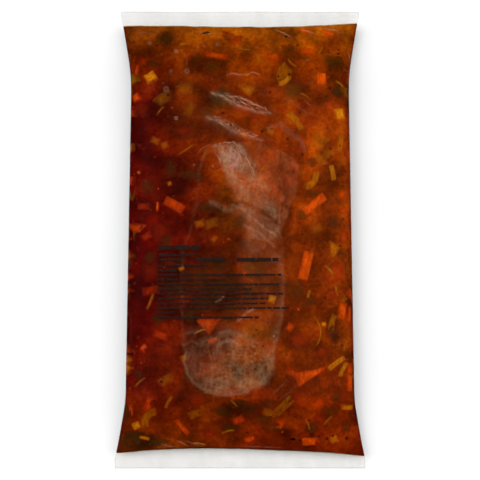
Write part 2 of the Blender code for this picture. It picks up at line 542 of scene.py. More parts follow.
def soup_colour(m, light=1.0):
    """The soup's murky colour: brown and orange, but deep red in the left middle and redder at the foot, made lighter
    or darker in bands along the bag and across it. The same places get the same colour in every piece."""
    big = m.noise(36.0, 1.6, 0.45, 0.4)
    fine = m.noise(105.0, 2.5, 0.50, 0.2)
    tone = m.sums("MULTIPLY_ADD", fine, 0.34, m.sums("ADD", big, -0.17))
    brown = m.ramp(tone, [(0.28, (0.078, 0.0165, 0.001)), (0.40, (0.125, 0.0275, 0.001)),
                          (0.50, (0.190, 0.0410, 0.001)), (0.60, (0.270, 0.0585, 0.002)),
                          (0.72, (0.360, 0.0900, 0.002))])
    red = m.ramp(tone, [(0.28, (0.050, 0.0012, 0.0)), (0.42, (0.088, 0.0018, 0.0)),
                        (0.54, (0.135, 0.0032, 0.0)), (0.68, (0.230, 0.0100, 0.001))])
    x = m.sums("MULTIPLY_ADD", m.noise(14.0, 1.0), 0.05, m.sums("ADD", m.axis(0), -0.025))
    across = m.sums("MULTIPLY_ADD", x, 13.0, 1.12, clamp=True)
    head = m.sums("MULTIPLY_ADD", m.axis(1), 16.0, -1.75, clamp=True)
    foot = m.sums("MULTIPLY_ADD", m.axis(1), -16.0, -1.95, clamp=True)
    share = m.sums("MAXIMUM", across, head)
    share = m.sums("MULTIPLY", share, m.sums("MULTIPLY_ADD", foot, -0.52, 1.0))
    share = m.sums("MAXIMUM", share, m.sums("MULTIPLY", foot, 0.45))
    up = m.sums("MULTIPLY_ADD", m.axis(1), 2.5, 0.5, clamp=True)
    glow = m.ramp(up, [(0.0, (1.32, 0.50, 0.6)), (0.06, (1.02, 0.62, 0.8)), (0.14, (1.34, 1.10, 1.0)),
                       (0.26, (1.36, 1.30, 1.1)), (0.36, (1.12, 1.05, 1.0)), (0.50, (1.20, 1.18, 1.0)),
                       (0.60, (1.66, 1.66, 1.3)), (0.66, (1.86, 1.82, 1.3)), (0.74, (1.48, 1.46, 1.2)),
                       (0.82, (1.16, 1.18, 1.2)), (0.91, (1.90, 2.15, 1.8))], True)
    dim = m.ramp(up, [(0.0, (0.95, 0.80, 0.8)), (0.06, (1.08, 1.30, 1.0)), (0.16, (1.16, 1.45, 1.1)),
                      (0.25, (0.97, 0.90, 0.8)), (0.36, (1.08, 0.60, 0.5)), (0.50, (0.86, 0.44, 0.4)),
                      (0.62, (0.78, 0.55, 0.4)), (0.72, (0.98, 0.88, 0.8)), (0.83, (1.10, 1.08, 1.0)),
                      (0.91, (1.16, 1.18, 1.1))], True)
    right = m.sums("MULTIPLY_ADD", m.axis(0), 17.0, m.sums("MULTIPLY_ADD", head, 0.20, 0.80), clamp=True)
    base = m.mix(1.0, m.mix(share, red, brown), m.mix(right, dim, glow), "MULTIPLY")
    x, y, uneven = m.axis(0), m.axis(1), m.noise(85.0, 2.0)
    for row in PATCHES:
        base = patch(m, base, x, y, uneven, *row)
    grain = m.noise(330.0, 4.0, 0.62)
    grain = m.ramp(grain, [(0.32, (0.72, 0.68, 0.65)), (0.50, (1.0, 1.0, 1.0)), (0.67, (1.28, 1.36, 1.3))])
    return m.mix(1.0, base, grain, "MULTIPLY")


def stew_material():
    """The dark heart of the soup, darker and redder near the bag's sides: painted shade along its rounded edges."""
    m = Nodes("soup_heart", roughness=0.75)
    m.shader.inputs["Specular IOR Level"].default_value = 0.0
    soup = soup_colour(m)
    # near the bag's sides the colour is multiplied down: painted shade along the rounded edges
    m.put("Base Color", m.mix(m.attribute("side"), soup, m.mix(1.0, soup, (0.72, 0.35, 0.12), "MULTIPLY")))
    return m.material


def broth_material():
    """Frozen broth: clear enough to see a few millimetres in, red by what it takes from the light."""
    m = Nodes("frozen_broth", roughness=0.10, IOR=1.05, Transmission_Weight=1.0)
    m.put("Base Color", m.ramp(m.noise(720.0, 4.0, 0.65), [(0.32, (0.80, 0.70, 0.58)), (0.54, (1.0, 0.95, 0.90))]))
    rough = m.ramp(m.noise(140.0, 3.0, 0.5), [(0.35, (0.08,) * 3), (0.70, (0.18,) * 3)])
    m.put("Roughness", rough)
    m.bump(m.noise(420.0, 3.0, 0.5), 0.18, 0.0006)
    volume = m.tree.nodes.new("ShaderNodeVolumeAbsorption")
    volume.inputs["Color"].default_value = (0.955, 0.66, 0.0, 1.0)
    volume.inputs["Density"].default_value = 420.0
    m.tree.links.new(volume.outputs[0], m.tree.nodes["Material Output"].inputs["Volume"])
    return m.material


def film_material():
    """Clear film: next to nothing over the soup, a grey veil where two plies are welded."""
    m = Nodes("clear_film", roughness=0.10)
    m.shader.inputs["Specular IOR Level"].default_value = 0.015
    veil = m.attribute("veil")
    grain = m.ramp(m.noise(340.0, 3.0, 0.6, 0.0, m.stretched(1.0, 0.25, 1.0)), [(0.3, (0.88,) * 3), (0.7, (1.10,) * 3)])
    # warm brown where the veil begins at the soup line: painted light thrown back from the soup
    m.put("Base Color", m.mix(1.0, m.ramp(veil, [(0.0, (0.30, 0.20, 0.12)), (0.25, (0.46, 0.43, 0.38)), (1.0, (0.50, 0.50, 0.49))]), grain, "MULTIPLY"))
    m.put("Alpha", m.sums("MULTIPLY_ADD", veil, 0.60, 0.0008, True))
    m.bump(m.noise(260.0, 3.0, 0.5), 0.15, 0.0006)
    return m.material


def frost_and_sheen_material():
    """Air and frost under lifted film: a warm grey veil with crinkles in it, its paleness partly painted reflection
    from the parted film; the pale mix is a painted highlight.
    """
    m = Nodes("frost_and_sheen_under_film", roughness=0.5)
    m.shader.inputs["Specular IOR Level"].default_value = 0.1
    fine = m.noise(260.0, 3.0, 0.6)
    tone = m.ramp(fine, [(0.30, (0.29, 0.155, 0.060)), (0.52, (0.36, 0.215, 0.105)), (0.75, (0.48, 0.315, 0.185))])
    warm = m.mix(m.attribute("warm"), tone, (0.52, 0.122, 0.036))
    # the pale mix paints highlights: a bright spot in the band and glints along the creases, streaks and bubbles
    m.put("Base Color", m.mix(m.attribute("painted_glint"), warm, (0.70, 0.40, 0.32)))
    grains = m.noise(800.0, 2.0, 0.6)
    m.put("Alpha", m.sums("MULTIPLY", m.attribute("frost_and_sheen"), m.sums("MULTIPLY_ADD", grains, 0.7, 0.65), clamp=True))
    return m.material


def food_material(name, dark, middle, bright, grain, roughness=0.5, stretch=(1, 1, 1), mottle=0.35, bump=0.3):
    """A cut vegetable: its colour runs from dark to bright by piece, with grain and soft patches,
    and goes over to the soup's own colour with depth."""
    m = Nodes(name, roughness=roughness)
    m.shader.inputs["Specular IOR Level"].default_value = 0.02
    place = m.stretched(*stretch)
    patches = m.noise(grain * 0.28, 3.0, 0.55, 0.5, place)
    fibre = m.noise(grain, 4.0, 0.62, 0.2, place)
    tone = m.sums("ADD", m.attribute("tone"), m.sums("MULTIPLY_ADD", patches, mottle, -mottle / 2))
    base = m.ramp(tone, [(0.0, dark), (0.5, middle), (1.0, bright)])
    own = m.mix(1.0, base, m.ramp(fibre, [(0.32, (0.62, 0.52, 0.5)), (0.50, (0.95,) * 3), (0.68, (1.22, 1.30, 1.3))]), "MULTIPLY")
    soup = soup_colour(m)
    near = m.mix(1.0, soup, (0.90, 0.46, 0.15), "MULTIPLY")
    m.put("Base Color", m.mix(m.attribute("murk"), own, m.mix(m.attribute("deep"), near, soup)))
    m.bump(fibre, bump, 0.0005)
    return m.material


def print_material():
    m = Nodes("plain_dark_ink", roughness=0.6)
    m.shader.inputs["Specular IOR Level"].default_value = 0.04
    worn = m.noise(700.0, 2.0, 0.5)
    m.put("Base Color", m.ramp(worn, [(0.35, (0.010, 0.004, 0.003)), (0.75, (0.030, 0.010, 0.006))]))
    m.put("Alpha", m.ramp(worn, [(0.25, (0.97,) * 3), (0.60, (0.93,) * 3), (0.80, (0.75,) * 3)]))
    return m.material


# ---- pieces of food ----------------------------------------------------------------------------
def box_lattice(nx, ny, nz):
    """Lattice points of a box's surface and its quads, as whole numbers from 0."""
    index, points, quads = {}, [], []

    def at(p):
        if p not in index:
            index[p] = len(points)
            points.append(p)
        return index[p]

    for axis, (u, v) in ((0, (1, 2)), (1, (2, 0)), (2, (0, 1))):
        size = (nx, ny, nz)
        for end in (0, size[axis]):
            for i in range(size[u]):
                for j in range(size[v]):
                    quad = []
                    for di, dj in ((0, 0), (1, 0), (1, 1), (0, 1)):
                        p = [0, 0, 0]
                        p[axis], p[u], p[v] = end, i + di, j + dj
                        quad.append(at(tuple(p)))
                    quads.append(quad if end else quad[::-1])
    return np.array(points), np.array(quads)


LATTICES = {k: box_lattice(*k) for k in ((6, 6, 3), (8, 6, 3), (12, 5, 3), (14, 4, 3))}


def cut_piece(size, lattice=(6, 6, 3), edge=0.0007, bend=0.0, taper=0.0, skew=0.0, warp=0.06, hollow=0.0, seed=0):
    """A diced or sliced piece: flat cut faces, softened edges, then bent, tapered and made uneven.
    bend is the angle that its length turns through; hollow curls its width, as in celery."""
    points, quads = LATTICES[lattice]
    half = np.array(size, float) / 2
    edge = min(edge, half.min() * 0.7)
    p = np.zeros(points.shape)
    for k in range(3):
        n = lattice[k]
        inner = np.linspace(-(half[k] - edge), half[k] - edge, n - 1)
        rows = np.concatenate([[-half[k]], inner, [half[k]]])
        p[:, k] = rows[points[:, k]]
    rim = np.maximum(np.abs(p[:, 0]) / half[0], np.abs(p[:, 1]) / half[1])
    core = np.clip(p, -(half - edge), half - edge)
    away = p - core
    length = np.linalg.norm(away, axis=1)
    p = core + away * (edge / np.maximum(length, 1e-9))[:, None] * (length > 0)[:, None]
    t = p[:, 0] / half[0]
    p[:, 1] *= 1 + taper * t
    p[:, 1] += skew * p[:, 0] * 0.5
    p[:, 0] += skew * p[:, 1] * 0.5
    scale = half.mean() * 1.6
    p = p + np.stack([noise(p, scale, seed + k) for k in (1, 2, 3)], axis=-1) * warp * half.min() * 2
    if hollow:
        p[:, 2] += hollow * half[2] * ((p[:, 1] / half[1]) ** 2 - 0.4) * 2
    if bend:
        radius = 2 * half[0] / bend
        turn = p[:, 0] / radius
        r = radius + p[:, 1]
        p = np.stack([r * np.sin(turn), r * np.cos(turn) - radius * math.cos(bend / 2 * 0.6), p[:, 2]], axis=-1)
    return p, [quads], rim


def leaf_piece(radius, stretch=1.0, crumple=0.25, thickness=0.0004, ragged=0.3, seed=0, rings=6, turns=20):
    """A scrap of leaf: a thin closed sheet with an uneven outline, crumpled."""
    turn = np.linspace(0, 2 * math.pi, turns, endpoint=False)
    around = np.stack([np.cos(turn), np.sin(turn), turn * 0], axis=-1)
    outline = radius * (1 + ragged * clouds(around, 0.9, 3, seed))
    outline = np.clip(outline, 0.35 * radius, 1.7 * radius)
    grid = [np.zeros((1, 3))]
    for k in range(1, rings + 1):
        r = outline * (k / rings)
        grid.append(np.stack([r * np.cos(turn) * stretch, r * np.sin(turn), r * 0], axis=-1))
    flat = np.concatenate(grid)
    flat[:, 2] = crumple * radius * clouds(flat, radius * 0.8, 3, seed + 9)
    n = len(flat)
    edge = np.arange(n) >= n - turns
    thin = np.where(edge, 0.35, 1.0)[:, None] * np.array([0, 0, thickness / 2])
    verts = np.concatenate([flat + thin, flat - thin])
    tris, quads = [], []
    for j in range(turns):
        k = (j + 1) % turns
        tris += [[0, 1 + j, 1 + k], [n, n + 1 + k, n + 1 + j]]
        for i in range(rings - 1):
            a, b = 1 + i * turns + j, 1 + i * turns + k
            c, d = a + turns, b + turns
            quads += [[a, c, d, b], [n + a, n + b, n + d, n + c]]
        a, b = 1 + (rings - 1) * turns + j, 1 + (rings - 1) * turns + k
        quads.append([a, n + a, n + b, b])
    ring = np.concatenate([[0.0], np.repeat(np.arange(1, rings + 1) / rings, turns)])
    return verts, [np.array(tris), np.array(quads)], np.concatenate([ring, ring])


def ball_piece(size, rough=0.1, seed=0, rings=8, turns=14, curl=0.0):
    """A soft rounded lump: a bean, or a bit of cooked tomato."""
    half = np.array(size, float) / 2
    verts = [[0, 0, 1.0]]
    for i in range(1, rings):
        f = math.pi * i / rings
        for j in range(turns):
            t = 2 * math.pi * j / turns
            verts.append([math.sin(f) * math.cos(t), math.sin(f) * math.sin(t), math.cos(f)])
    verts.append([0, 0, -1.0])
    p = np.array(verts)
    rim = np.where(p[:, 2] > 0, np.hypot(p[:, 0], p[:, 1]), 1.0)
    p = p * (1 + rough * clouds(p, 0.8, 3, seed))[:, None] * half
    if curl:
        p[:, 1] += curl * half[1] * (p[:, 0] / half[0]) ** 2
    last = len(p) - 1
    tris, quads = [], []
    for j in range(turns):
        k = (j + 1) % turns
        tris.append([0, 1 + j, 1 + k])
        low = 1 + (rings - 2) * turns
        tris.append([last, low + k, low + j])
        for i in range(rings - 2):
            a, b = 1 + i * turns + j, 1 + i * turns + k
            quads.append([a, a + turns, b + turns, b])
    return p, [np.array(tris), np.array(quads)], rim


MURK_DEPTH = 0.0028  # depth of broth that hides most of a piece's own colour


def kept_in(p, margin=0.0005):
    """Points p, with any that stand outside the broth moved back in towards its middle line."""
    x, y, z = p.T
    margin = margin + GAP
    y = np.minimum(y, BAG_LENGTH / 2 - soup_line(HEAD_LINE, x) - 0.0022)
    y = np.maximum(y, soup_line(FOOT_LINE, x) + 0.0022 - BAG_LENGTH / 2)
    s = BAG_LENGTH / 2 - y
    thick = np.interp(s, STATIONS, THICK)
    half = half_width(s) - margin
    line = lowest(s) + SIDE_SHARE * thick
    upper = z > line
    raised = np.where(upper, relief(x, y, half_width(s)), 0.0)
    power = np.where(upper, TOP_POWER, UNDER_POWER)
    height = np.where(upper, 1 - SIDE_SHARE, SIDE_SHARE) * thick - margin
    rise = z - raised - line
    r = (np.abs(x / half) ** power + np.abs(rise / height) ** power) ** (1 / power)
    k = 1 / np.maximum(r, 1.0)
    x = x * k
    y = np.minimum(y, BAG_LENGTH / 2 - soup_line(HEAD_LINE, x) - 0.0016)
    y = np.maximum(y, soup_line(FOOT_LINE, x) + 0.0016 - BAG_LENGTH / 2)
    return np.stack([x, y, line + rise * k + raised], axis=-1)


def depth_of(p):
    """How deep points lie under the film, by the nearest way out."""
    x, y, z = p.T
    s = BAG_LENGTH / 2 - y
    half = half_width(s)
    u = np.clip(np.abs(x) / half, 0.0, 0.9999)
    low = lowest(s) + SIDE_SHARE * np.interp(s, STATIONS, THICK) * (1 - (1 - u**UNDER_POWER) ** (1 / UNDER_POWER))
    side = half - np.abs(x) + 0.0009
    return np.maximum(np.minimum(np.minimum(top_height(x, y) - z, z - low), side), 0.0)


class Kind:
    """All pieces of one food, gathered into one mesh."""

    def __init__(self, name, material, fade=1.15, crisp=0.0012, blur=0.55):
        self.name, self.material, self.fade, self.crisp, self.blur = name, material, fade, crisp, blur
        self.verts, self.tris, self.quads, self.tones, self.count = [], [], [], [], 0
        self.murk, self.deep, self.out = [], [], []

    def add(self, shape, centre, normal, angle, tone, lean=(0.0, 0.0)):
        """shape's z faces out along normal; angle turns its length from +X towards +Y."""
        verts, faces, rim = shape
        n = np.array(normal, float)
        n /= np.linalg.norm(n)
        ahead = np.array([math.cos(angle), math.sin(angle), 0.0])
        if abs(n[2]) < 0.5:  # on a side of the bag, length runs along the bag or up it
            along = np.array([0.0, 1.0, 0.0])
            up = np.cross(n, along)
            ahead = along * math.cos(angle) + up * math.sin(angle)
        u = ahead - n * (ahead @ n)
        u /= np.linalg.norm(u)
        v = np.cross(n, u)
        axes = np.stack([u, v, n])
        tilt = np.array(Matrix.Rotation(lean[0], 3, "X") @ Matrix.Rotation(lean[1], 3, "Y"))
        margin = 0.0004 + 0.0004 * (self.count * 0.618 % 1)  # so that no two outer faces coincide
        moved = kept_in((verts @ tilt.T) @ axes + np.asarray(centre), margin)
        depth = depth_of(moved)
        soft = float(eased((depth.min() - self.crisp) / 0.0014))
        fuzzy = soft * rim**self.fade + (1 - soft) * self.blur * rim**4
        clear = np.exp(-np.maximum(depth - 0.0007, 0) / MURK_DEPTH) * (1 - fuzzy)
        self.murk.append(1 - clear)
        self.deep.append(np.clip(depth / HEART, 0, 1))
        self.out.append(np.repeat(n[None], len(verts), axis=0))
        for f in faces:
            (self.tris if f.shape[1] == 3 else self.quads).append(f + self.count)
        self.verts.append(moved)
        self.tones.append(tone + 0.30 * (0.5 - rim**2))  # brighter at the heart of a piece and darker at its edges and underside: painted highlight and painted shade
        self.count += len(verts)
        return moved

    def build(self):
        faces = [np.concatenate(f) for f in (self.tris, self.quads) if f]
        values = {"tone": self.tones, "murk": self.murk, "deep": self.deep}
        values = {key: np.concatenate(parts) for key, parts in values.items()}
        piece = make_object(self.name, np.concatenate(self.verts), faces, values)
        own = np.array([v.vector[:] for v in piece.data.vertex_normals])
        share = 0.92 * np.sqrt(values["murk"])[:, None]
        blend = own * (1 - share) + np.concatenate(self.out) * share
        blend /= np.maximum(np.linalg.norm(blend, axis=1)[:, None], 1e-6)
        piece.data.normals_split_custom_set_from_vertices(blend.tolist())
        piece.data.materials.append(self.material)
        return piece


CARROT = Kind("carrot_pieces", food_material("carrot", (0.27, 0.010, 0.0), (0.58, 0.045, 0.0), (1.0, 0.125, 0.0), 520, stretch=(1, 0.5, 1), mottle=0.55))
POTATO = Kind("potato_dice", food_material("potato", (0.24, 0.055, 0.0), (0.58, 0.165, 0.001), (1.0, 0.36, 0.004), 700, mottle=0.6, bump=0.4))
CELERY = Kind("celery_slices", food_material("celery", (0.19, 0.062, 0.001), (0.42, 0.155, 0.002), (0.74, 0.300, 0.003), 460, stretch=(1, 0.35, 1), mottle=0.55))
ONION = Kind("onion_slivers", food_material("onion", (0.22, 0.068, 0.001), (0.45, 0.155, 0.002), (0.70, 0.270, 0.004), 420, stretch=(0.4, 1, 1), mottle=0.5))
LEAF = Kind("leaf_scraps", food_material("leaf", (0.030, 0.018, 0.003), (0.056, 0.034, 0.005), (0.110, 0.060, 0.008), 640, mottle=0.7), fade=2.4, crisp=0.0003)
TOMATO = Kind("tomato_bits", food_material("tomato", (0.12, 0.006, 0.0), (0.26, 0.016, 0.0), (0.44, 0.038, 0.001), 300, mottle=0.5), crisp=0.0006)
BEAN = Kind("dark_beans", food_material("bean", (0.008, 0.005, 0.001), (0.024, 0.012, 0.002), (0.07, 0.03, 0.005), 300, mottle=0.3), fade=1.8, crisp=0.0008)
HERB = Kind("herb_flecks", food_material("herb", (0.014, 0.006, 0.001), (0.034, 0.014, 0.002), (0.075, 0.030, 0.003), 1500, mottle=0.5), fade=2.0)
KINDS = [CARROT, POTATO, CELERY, ONION, LEAF, TOMATO, BEAN, HERB]
taken = []  # centres and reaches of what is already in place, near the surface


def rad(degrees):
    return math.radians(degrees)


def at_pixel(kind, shape, px, py, turn, depth, tone, reach=None, lean=(0.0, 0.0)):
    """Puts a piece so that its top lies depth under the film at that pixel of the photograph."""
    p = seen_at(px, py)
    n = facing(p)
    rise = shape[0][:, 2].max()
    thick = float(np.interp(BAG_LENGTH / 2 - p[1], STATIONS, THICK))
    if kind is LEAF:  # a leaf is pressed flatter where the bag is thin
        press = min(1.0, max(0.17 * thick - GAP - 0.0004, 0.0003) / (2.2 * rise))
        shape = (shape[0] * np.array([1, 1, press]), *shape[1:])
        rise *= press
    centre = p - n * (min(depth, 0.045 * thick) + GAP + 0.0003 + rise)
    kind.add(shape, centre, n, rad(turn), tone, lean)
    taken.append((*p, reach if reach is not None else np.abs(shape[0][:, :2]).max()))


def mm(*sizes):
    return tuple(v / 1000 for v in sizes)


def px_mm(*sizes):
    return tuple(v * PIXEL for v in sizes)


def strip(px, py, length, width, turn, depth, tone, thick=5.0, bend=0.0, taper=0.0, kind=CARROT, seed=None, skew=0.0, warp=0.11, hollow=0.0, edge=0.0009):
    """A stick or slice of the size seen in the photograph, in its pixels; thick is in millimetres."""
    size = (*px_mm(length, width), thick / 1000)
    lattice = (12, 5, 3) if length > 2.2 * width or bend else (8, 6, 3) if length > 1.4 * width else (6, 6, 3)
    seed = seed if seed is not None else int(px * 7 + py)
    shape = cut_piece(size, lattice, edge, bend, taper, skew, warp, hollow, seed)
    at_pixel(kind, shape, px, py, turn, depth / 1000, tone)


# carrots that the photograph shows: place, length and width in pixels, turn, depth in mm, tone
for row in [
    (322, 78, 10, 13, 2, 0.25, 1.00), (174, 204.5, 22, 9.5, -30, 0.35, 0.56), (315, 203.5, 27, 9.0, 38, 0.30, 0.90),
    (306, 265, 29, 10, 76, 0.35, 0.95), (343, 311, 18, 8, 80, 0.6, 0.86), (350.5, 315, 18, 4.5, 86, 0.5, 0.62),
    (351, 377, 28, 6, 88, 0.5, 0.75), (312, 442, 15, 8.5, 0, 0.7, 0.80), (135, 97, 8, 8.5, 20, 0.4, 0.85),
    (135.5, 70, 15, 5, 82, 1.1, 0.60), (216, 54, 26, 8, -12, 1.6, 0.80), (343, 194, 9, 6.5, 60, 0.8, 0.70),
    (344, 210, 8, 6, 30, 0.9, 0.65), (143, 206, 14, 8, 0, 3.3, 0.30), (157, 206, 10, 3, 86, 0.5, 0.75),
    (290, 327, 10, 8, 60, 1.2, 0.75), (148, 405, 15, 7.5, 70, 1.6, 0.65), (130, 411, 12, 5, 84, 1.2, 0.65),
    (182, 428, 20, 5.5, -52, 1.0, 0.75), (213, 340, 11, 5, 20, 1.0, 0.70), (143, 347, 7, 5, 40, 0.7, 0.70),
    (335, 273, 20, 17, 20, 1.9, 0.62), (306, 50, 14, 9, 10, 2.4, 0.75), (328, 32, 15, 5, -18, 1.0, 0.80),
    (304, 30, 18, 4.5, -12, 1.3, 0.80), (273, 55, 12, 9, 0, 2.6, 0.75), (330, 105, 8, 9, 20, 1.8, 0.65),
    (146, 236, 12, 8, 30, 3.5, 0.30), (150, 290, 18, 9, 10, 3.5, 0.35), (318, 405, 14, 9, 40, 2.4, 0.60),
    (280, 425, 11, 8, 60, 2.2, 0.60), (345, 236, 12, 7, 80, 1.6, 0.62), (160, 335, 16, 8, -20, 2.6, 0.50),
    (250, 440, 12, 7, 10, 1.9, 0.60), (292, 372, 14, 8, -30, 2.2, 0.55), (238, 421, 12, 8, 30, 3.0, 0.50),
]:
    strip(*row)
strip(311, 374, 31, 9, 22, 0.3, 0.74, thick=4.5, taper=-0.72)
shape = cut_piece((*px_mm(19, 12), 0.005), (8, 6, 3), 0.0006, 0, 0.75, 0.25, 0.06, 0, 323)
at_pixel(CARROT, shape, 206, 323, -28, 0.0009, 0.66)

# potatoes
for row in [
    (150, 76, 11.5, 10.5, 32, 0.15, 0.78), (340.5, 113.5, 9.5, 11.5, 12, 0.15, 0.92), (136, 426, 8, 8, 25, 0.3, 0.66),
    (348, 408, 12, 5.5, 0, 0.5, 0.55), (348, 447, 11, 8, 80, 0.7, 0.55), (334, 440, 9, 8, 20, 0.9, 0.45),
    (272, 299, 9, 8, 70, 0.8, 0.62), (155, 140, 11, 8, -25, 1.5, 0.42), (164.5, 144.5, 9, 8, 20, 1.3, 0.45),
    (200, 223, 12, 9, 20, 1.7, 0.42), (181, 268, 6, 5, 30, 0.9, 0.50), (144, 438.5, 11, 4, -12, 0.5, 0.55),
    (271, 131, 10, 7, -20, 1.2, 0.50), (244, 133, 9, 6, -40, 1.2, 0.52), (246, 199, 9, 8, 10, 1.3, 0.50),
    (324, 324, 5, 5, 0, 0.3, 0.60), (169, 183, 5, 5, 20, 0.7, 0.42), (138, 172, 3.5, 3.5, 10, 0.5, 0.42),
    (184, 358, 8, 7, 30, 1.5, 0.40), (247, 74, 6, 5, 0, 0.8, 0.55), (214, 238, 9, 7, 60, 2.0, 0.36),
]:
    strip(*row, kind=POTATO, thick=6.5, warp=0.10)
shape = cut_piece((*px_mm(12, 12), 0.006), (6, 6, 3), 0.0006, 0, 0.8, 0.2, 0.06, 0, 48)
at_pixel(POTATO, shape, 248, 90, 95, 0.0009, 0.50)
shape = cut_piece((*px_mm(14, 9), 0.005), (8, 6, 3), 0.0006, 0, 0.55, 0.3, 0.10, 0, 50)
at_pixel(POTATO, shape, 334, 250, 68, 0.0007, 0.52)

# celery: crescents and sticks with a hollow side
for px, py, length, width, turn, depth, tone, bend in [
    (285, 80, 15, 5.0, 38, 0.3, 0.98, -1.2), (259, 56, 16, 7, -72, 1.6, 0.72, 0.5), (292, 116, 12, 8, -52, 0.7, 0.75, 0),
    (299, 124, 13, 6, -58, 0.8, 0.70, 0), (320, 141, 20, 15, 60, 2.2, 0.90, 0.9), (318, 158, 20, 11, -8, 2.0, 0.85, -0.9),
    (341, 142, 20, 6.0, 82, 0.9, 0.78, -0.5), (333, 172, 16, 5.0, -80, 0.5, 1.05, 0.3), (313, 180, 22, 6.5, 55, 0.8, 0.86, -1.6),
    (148, 419, 24, 8, 60, 1.2, 0.62, 2.0), (333, 322, 17, 6, 74, 0.9, 0.70, 0.4), (337, 363, 20, 5.0, 36, 0.4, 1.15, 0.3),
    (344, 369, 16, 4, 62, 0.5, 1.10, 0.3), (285, 71, 17, 14, 70, 2.5, 0.75, 1.2), (163, 98, 18, 12, 30, 2.4, 0.50, 0.9),
    (185, 88, 16, 12, 10, 2.6, 0.50, 0.8), (190, 108, 18, 9, 60, 2.6, 0.48, 0.5), (211, 223, 16, 10, 20, 2.2, 0.50, 0.8),
    (330, 152, 14, 9, 30, 2.3, 0.75, -0.6), (318, 228, 14, 9, 20, 2.0, 0.60, 0.6), (345, 300, 12, 6, 60, 1.5, 0.60, 0.5),
    (166, 380, 16, 9, 30, 2.3, 0.42, 0.9), (345, 160, 12, 6, 80, 1.6, 0.60, 0.4), (228, 160, 14, 9, 40, 2.2, 0.50, 0.5),
    (195, 415, 14, 8, 20, 2.8, 0.45, 0.6), (270, 415, 16, 8, -30, 2.6, 0.50, 0.6),
]:
    strip(px, py, length, width, turn, depth, tone, thick=3.2, bend=bend, kind=CELERY, hollow=0.5, warp=0.07)
# a slice with a pale rim and a darker middle
shape = cut_piece((*px_mm(23, 8.5), 0.0030), (12, 5, 3), 0.0012, 0, 0, 0, 0.05, 0.9, 77)
at_pixel(CELERY, shape, 284, 407, 48, 0.0006, 0.50)

# onion: thin curved slivers
for px, py, length, width, turn, depth, tone, bend in [
    (184, 43, 10, 2.6, 20, 0.4, 0.55, -0.5), (330, 270, 14, 3, -50, 0.5, 0.55, 0.4), (309, 294, 8, 3, 70, 0.7, 0.55, 0.5),
    (150, 301, 18, 3, 68, 1.0, 0.36, -0.4), (186, 149, 19, 2, 35, 0.8, 0.34, -0.3), (321, 49, 13, 1.6, 62, 0.5, 0.50, -0.7),
    (292, 62, 14, 1.8, -50, 0.5, 0.52, -0.9), (337, 290, 12, 1.8, -80, 0.5, 0.52, -0.6), (318.5, 330, 32, 1.8, -84, 0.4, 0.55, 1.5),
    (234, 404, 9, 1.8, -50, 0.5, 0.45, 0.4), (168, 403, 14, 3.5, 60, 1.5, 0.42, 0.5), (305, 95, 12, 1.8, -30, 0.5, 0.40, 0.8),
    (244, 48, 14, 1.8, -14, 0.5, 0.50, -1.0), (262, 170, 14, 2.4, 60, 0.9, 0.40, 0.8), (200, 331, 14, 2.2, 20, 0.9, 0.40, 0.8),
    (139, 382, 14, 2.4, 40, 1.4, 0.36, 0.6), (308, 425, 12, 2.2, -70, 0.9, 0.42, 0.6), (346, 345, 12, 2, 70, 0.6, 0.50, 0.7),
    (341, 84, 12, 2.4, -40, 0.7, 0.45, 0.7), (160, 110, 12, 2, 50, 1.0, 0.34, 0.8), (228, 432, 14, 2.4, 16, 1.0, 0.40, 0.7),
    (200, 444, 12, 2.2, -12, 0.9, 0.40, 0.5), (328, 421, 12, 2.2, 50, 0.9, 0.44, 0.6), (267, 42, 12, 2, 30, 0.9, 0.44, 0.8),
]:
    size = (*px_mm(length, width), 0.0022)
    shape = cut_piece(size, (14, 4, 3), 0.0005, bend, 0.0, 0.0, 0.10, 0.0, int(px + py * 3))
    p, faces, rim = shape
    ends = 1 - 0.55 * np.clip(np.abs(p[:, 0]) / (size[0] / 2), 0, 1) ** 2.5
    p = p.copy()
    if not bend:
        p[:, 1] *= ends
    at_pixel(ONION, (p, faces, rim), px, py, turn, depth / 1000, tone)
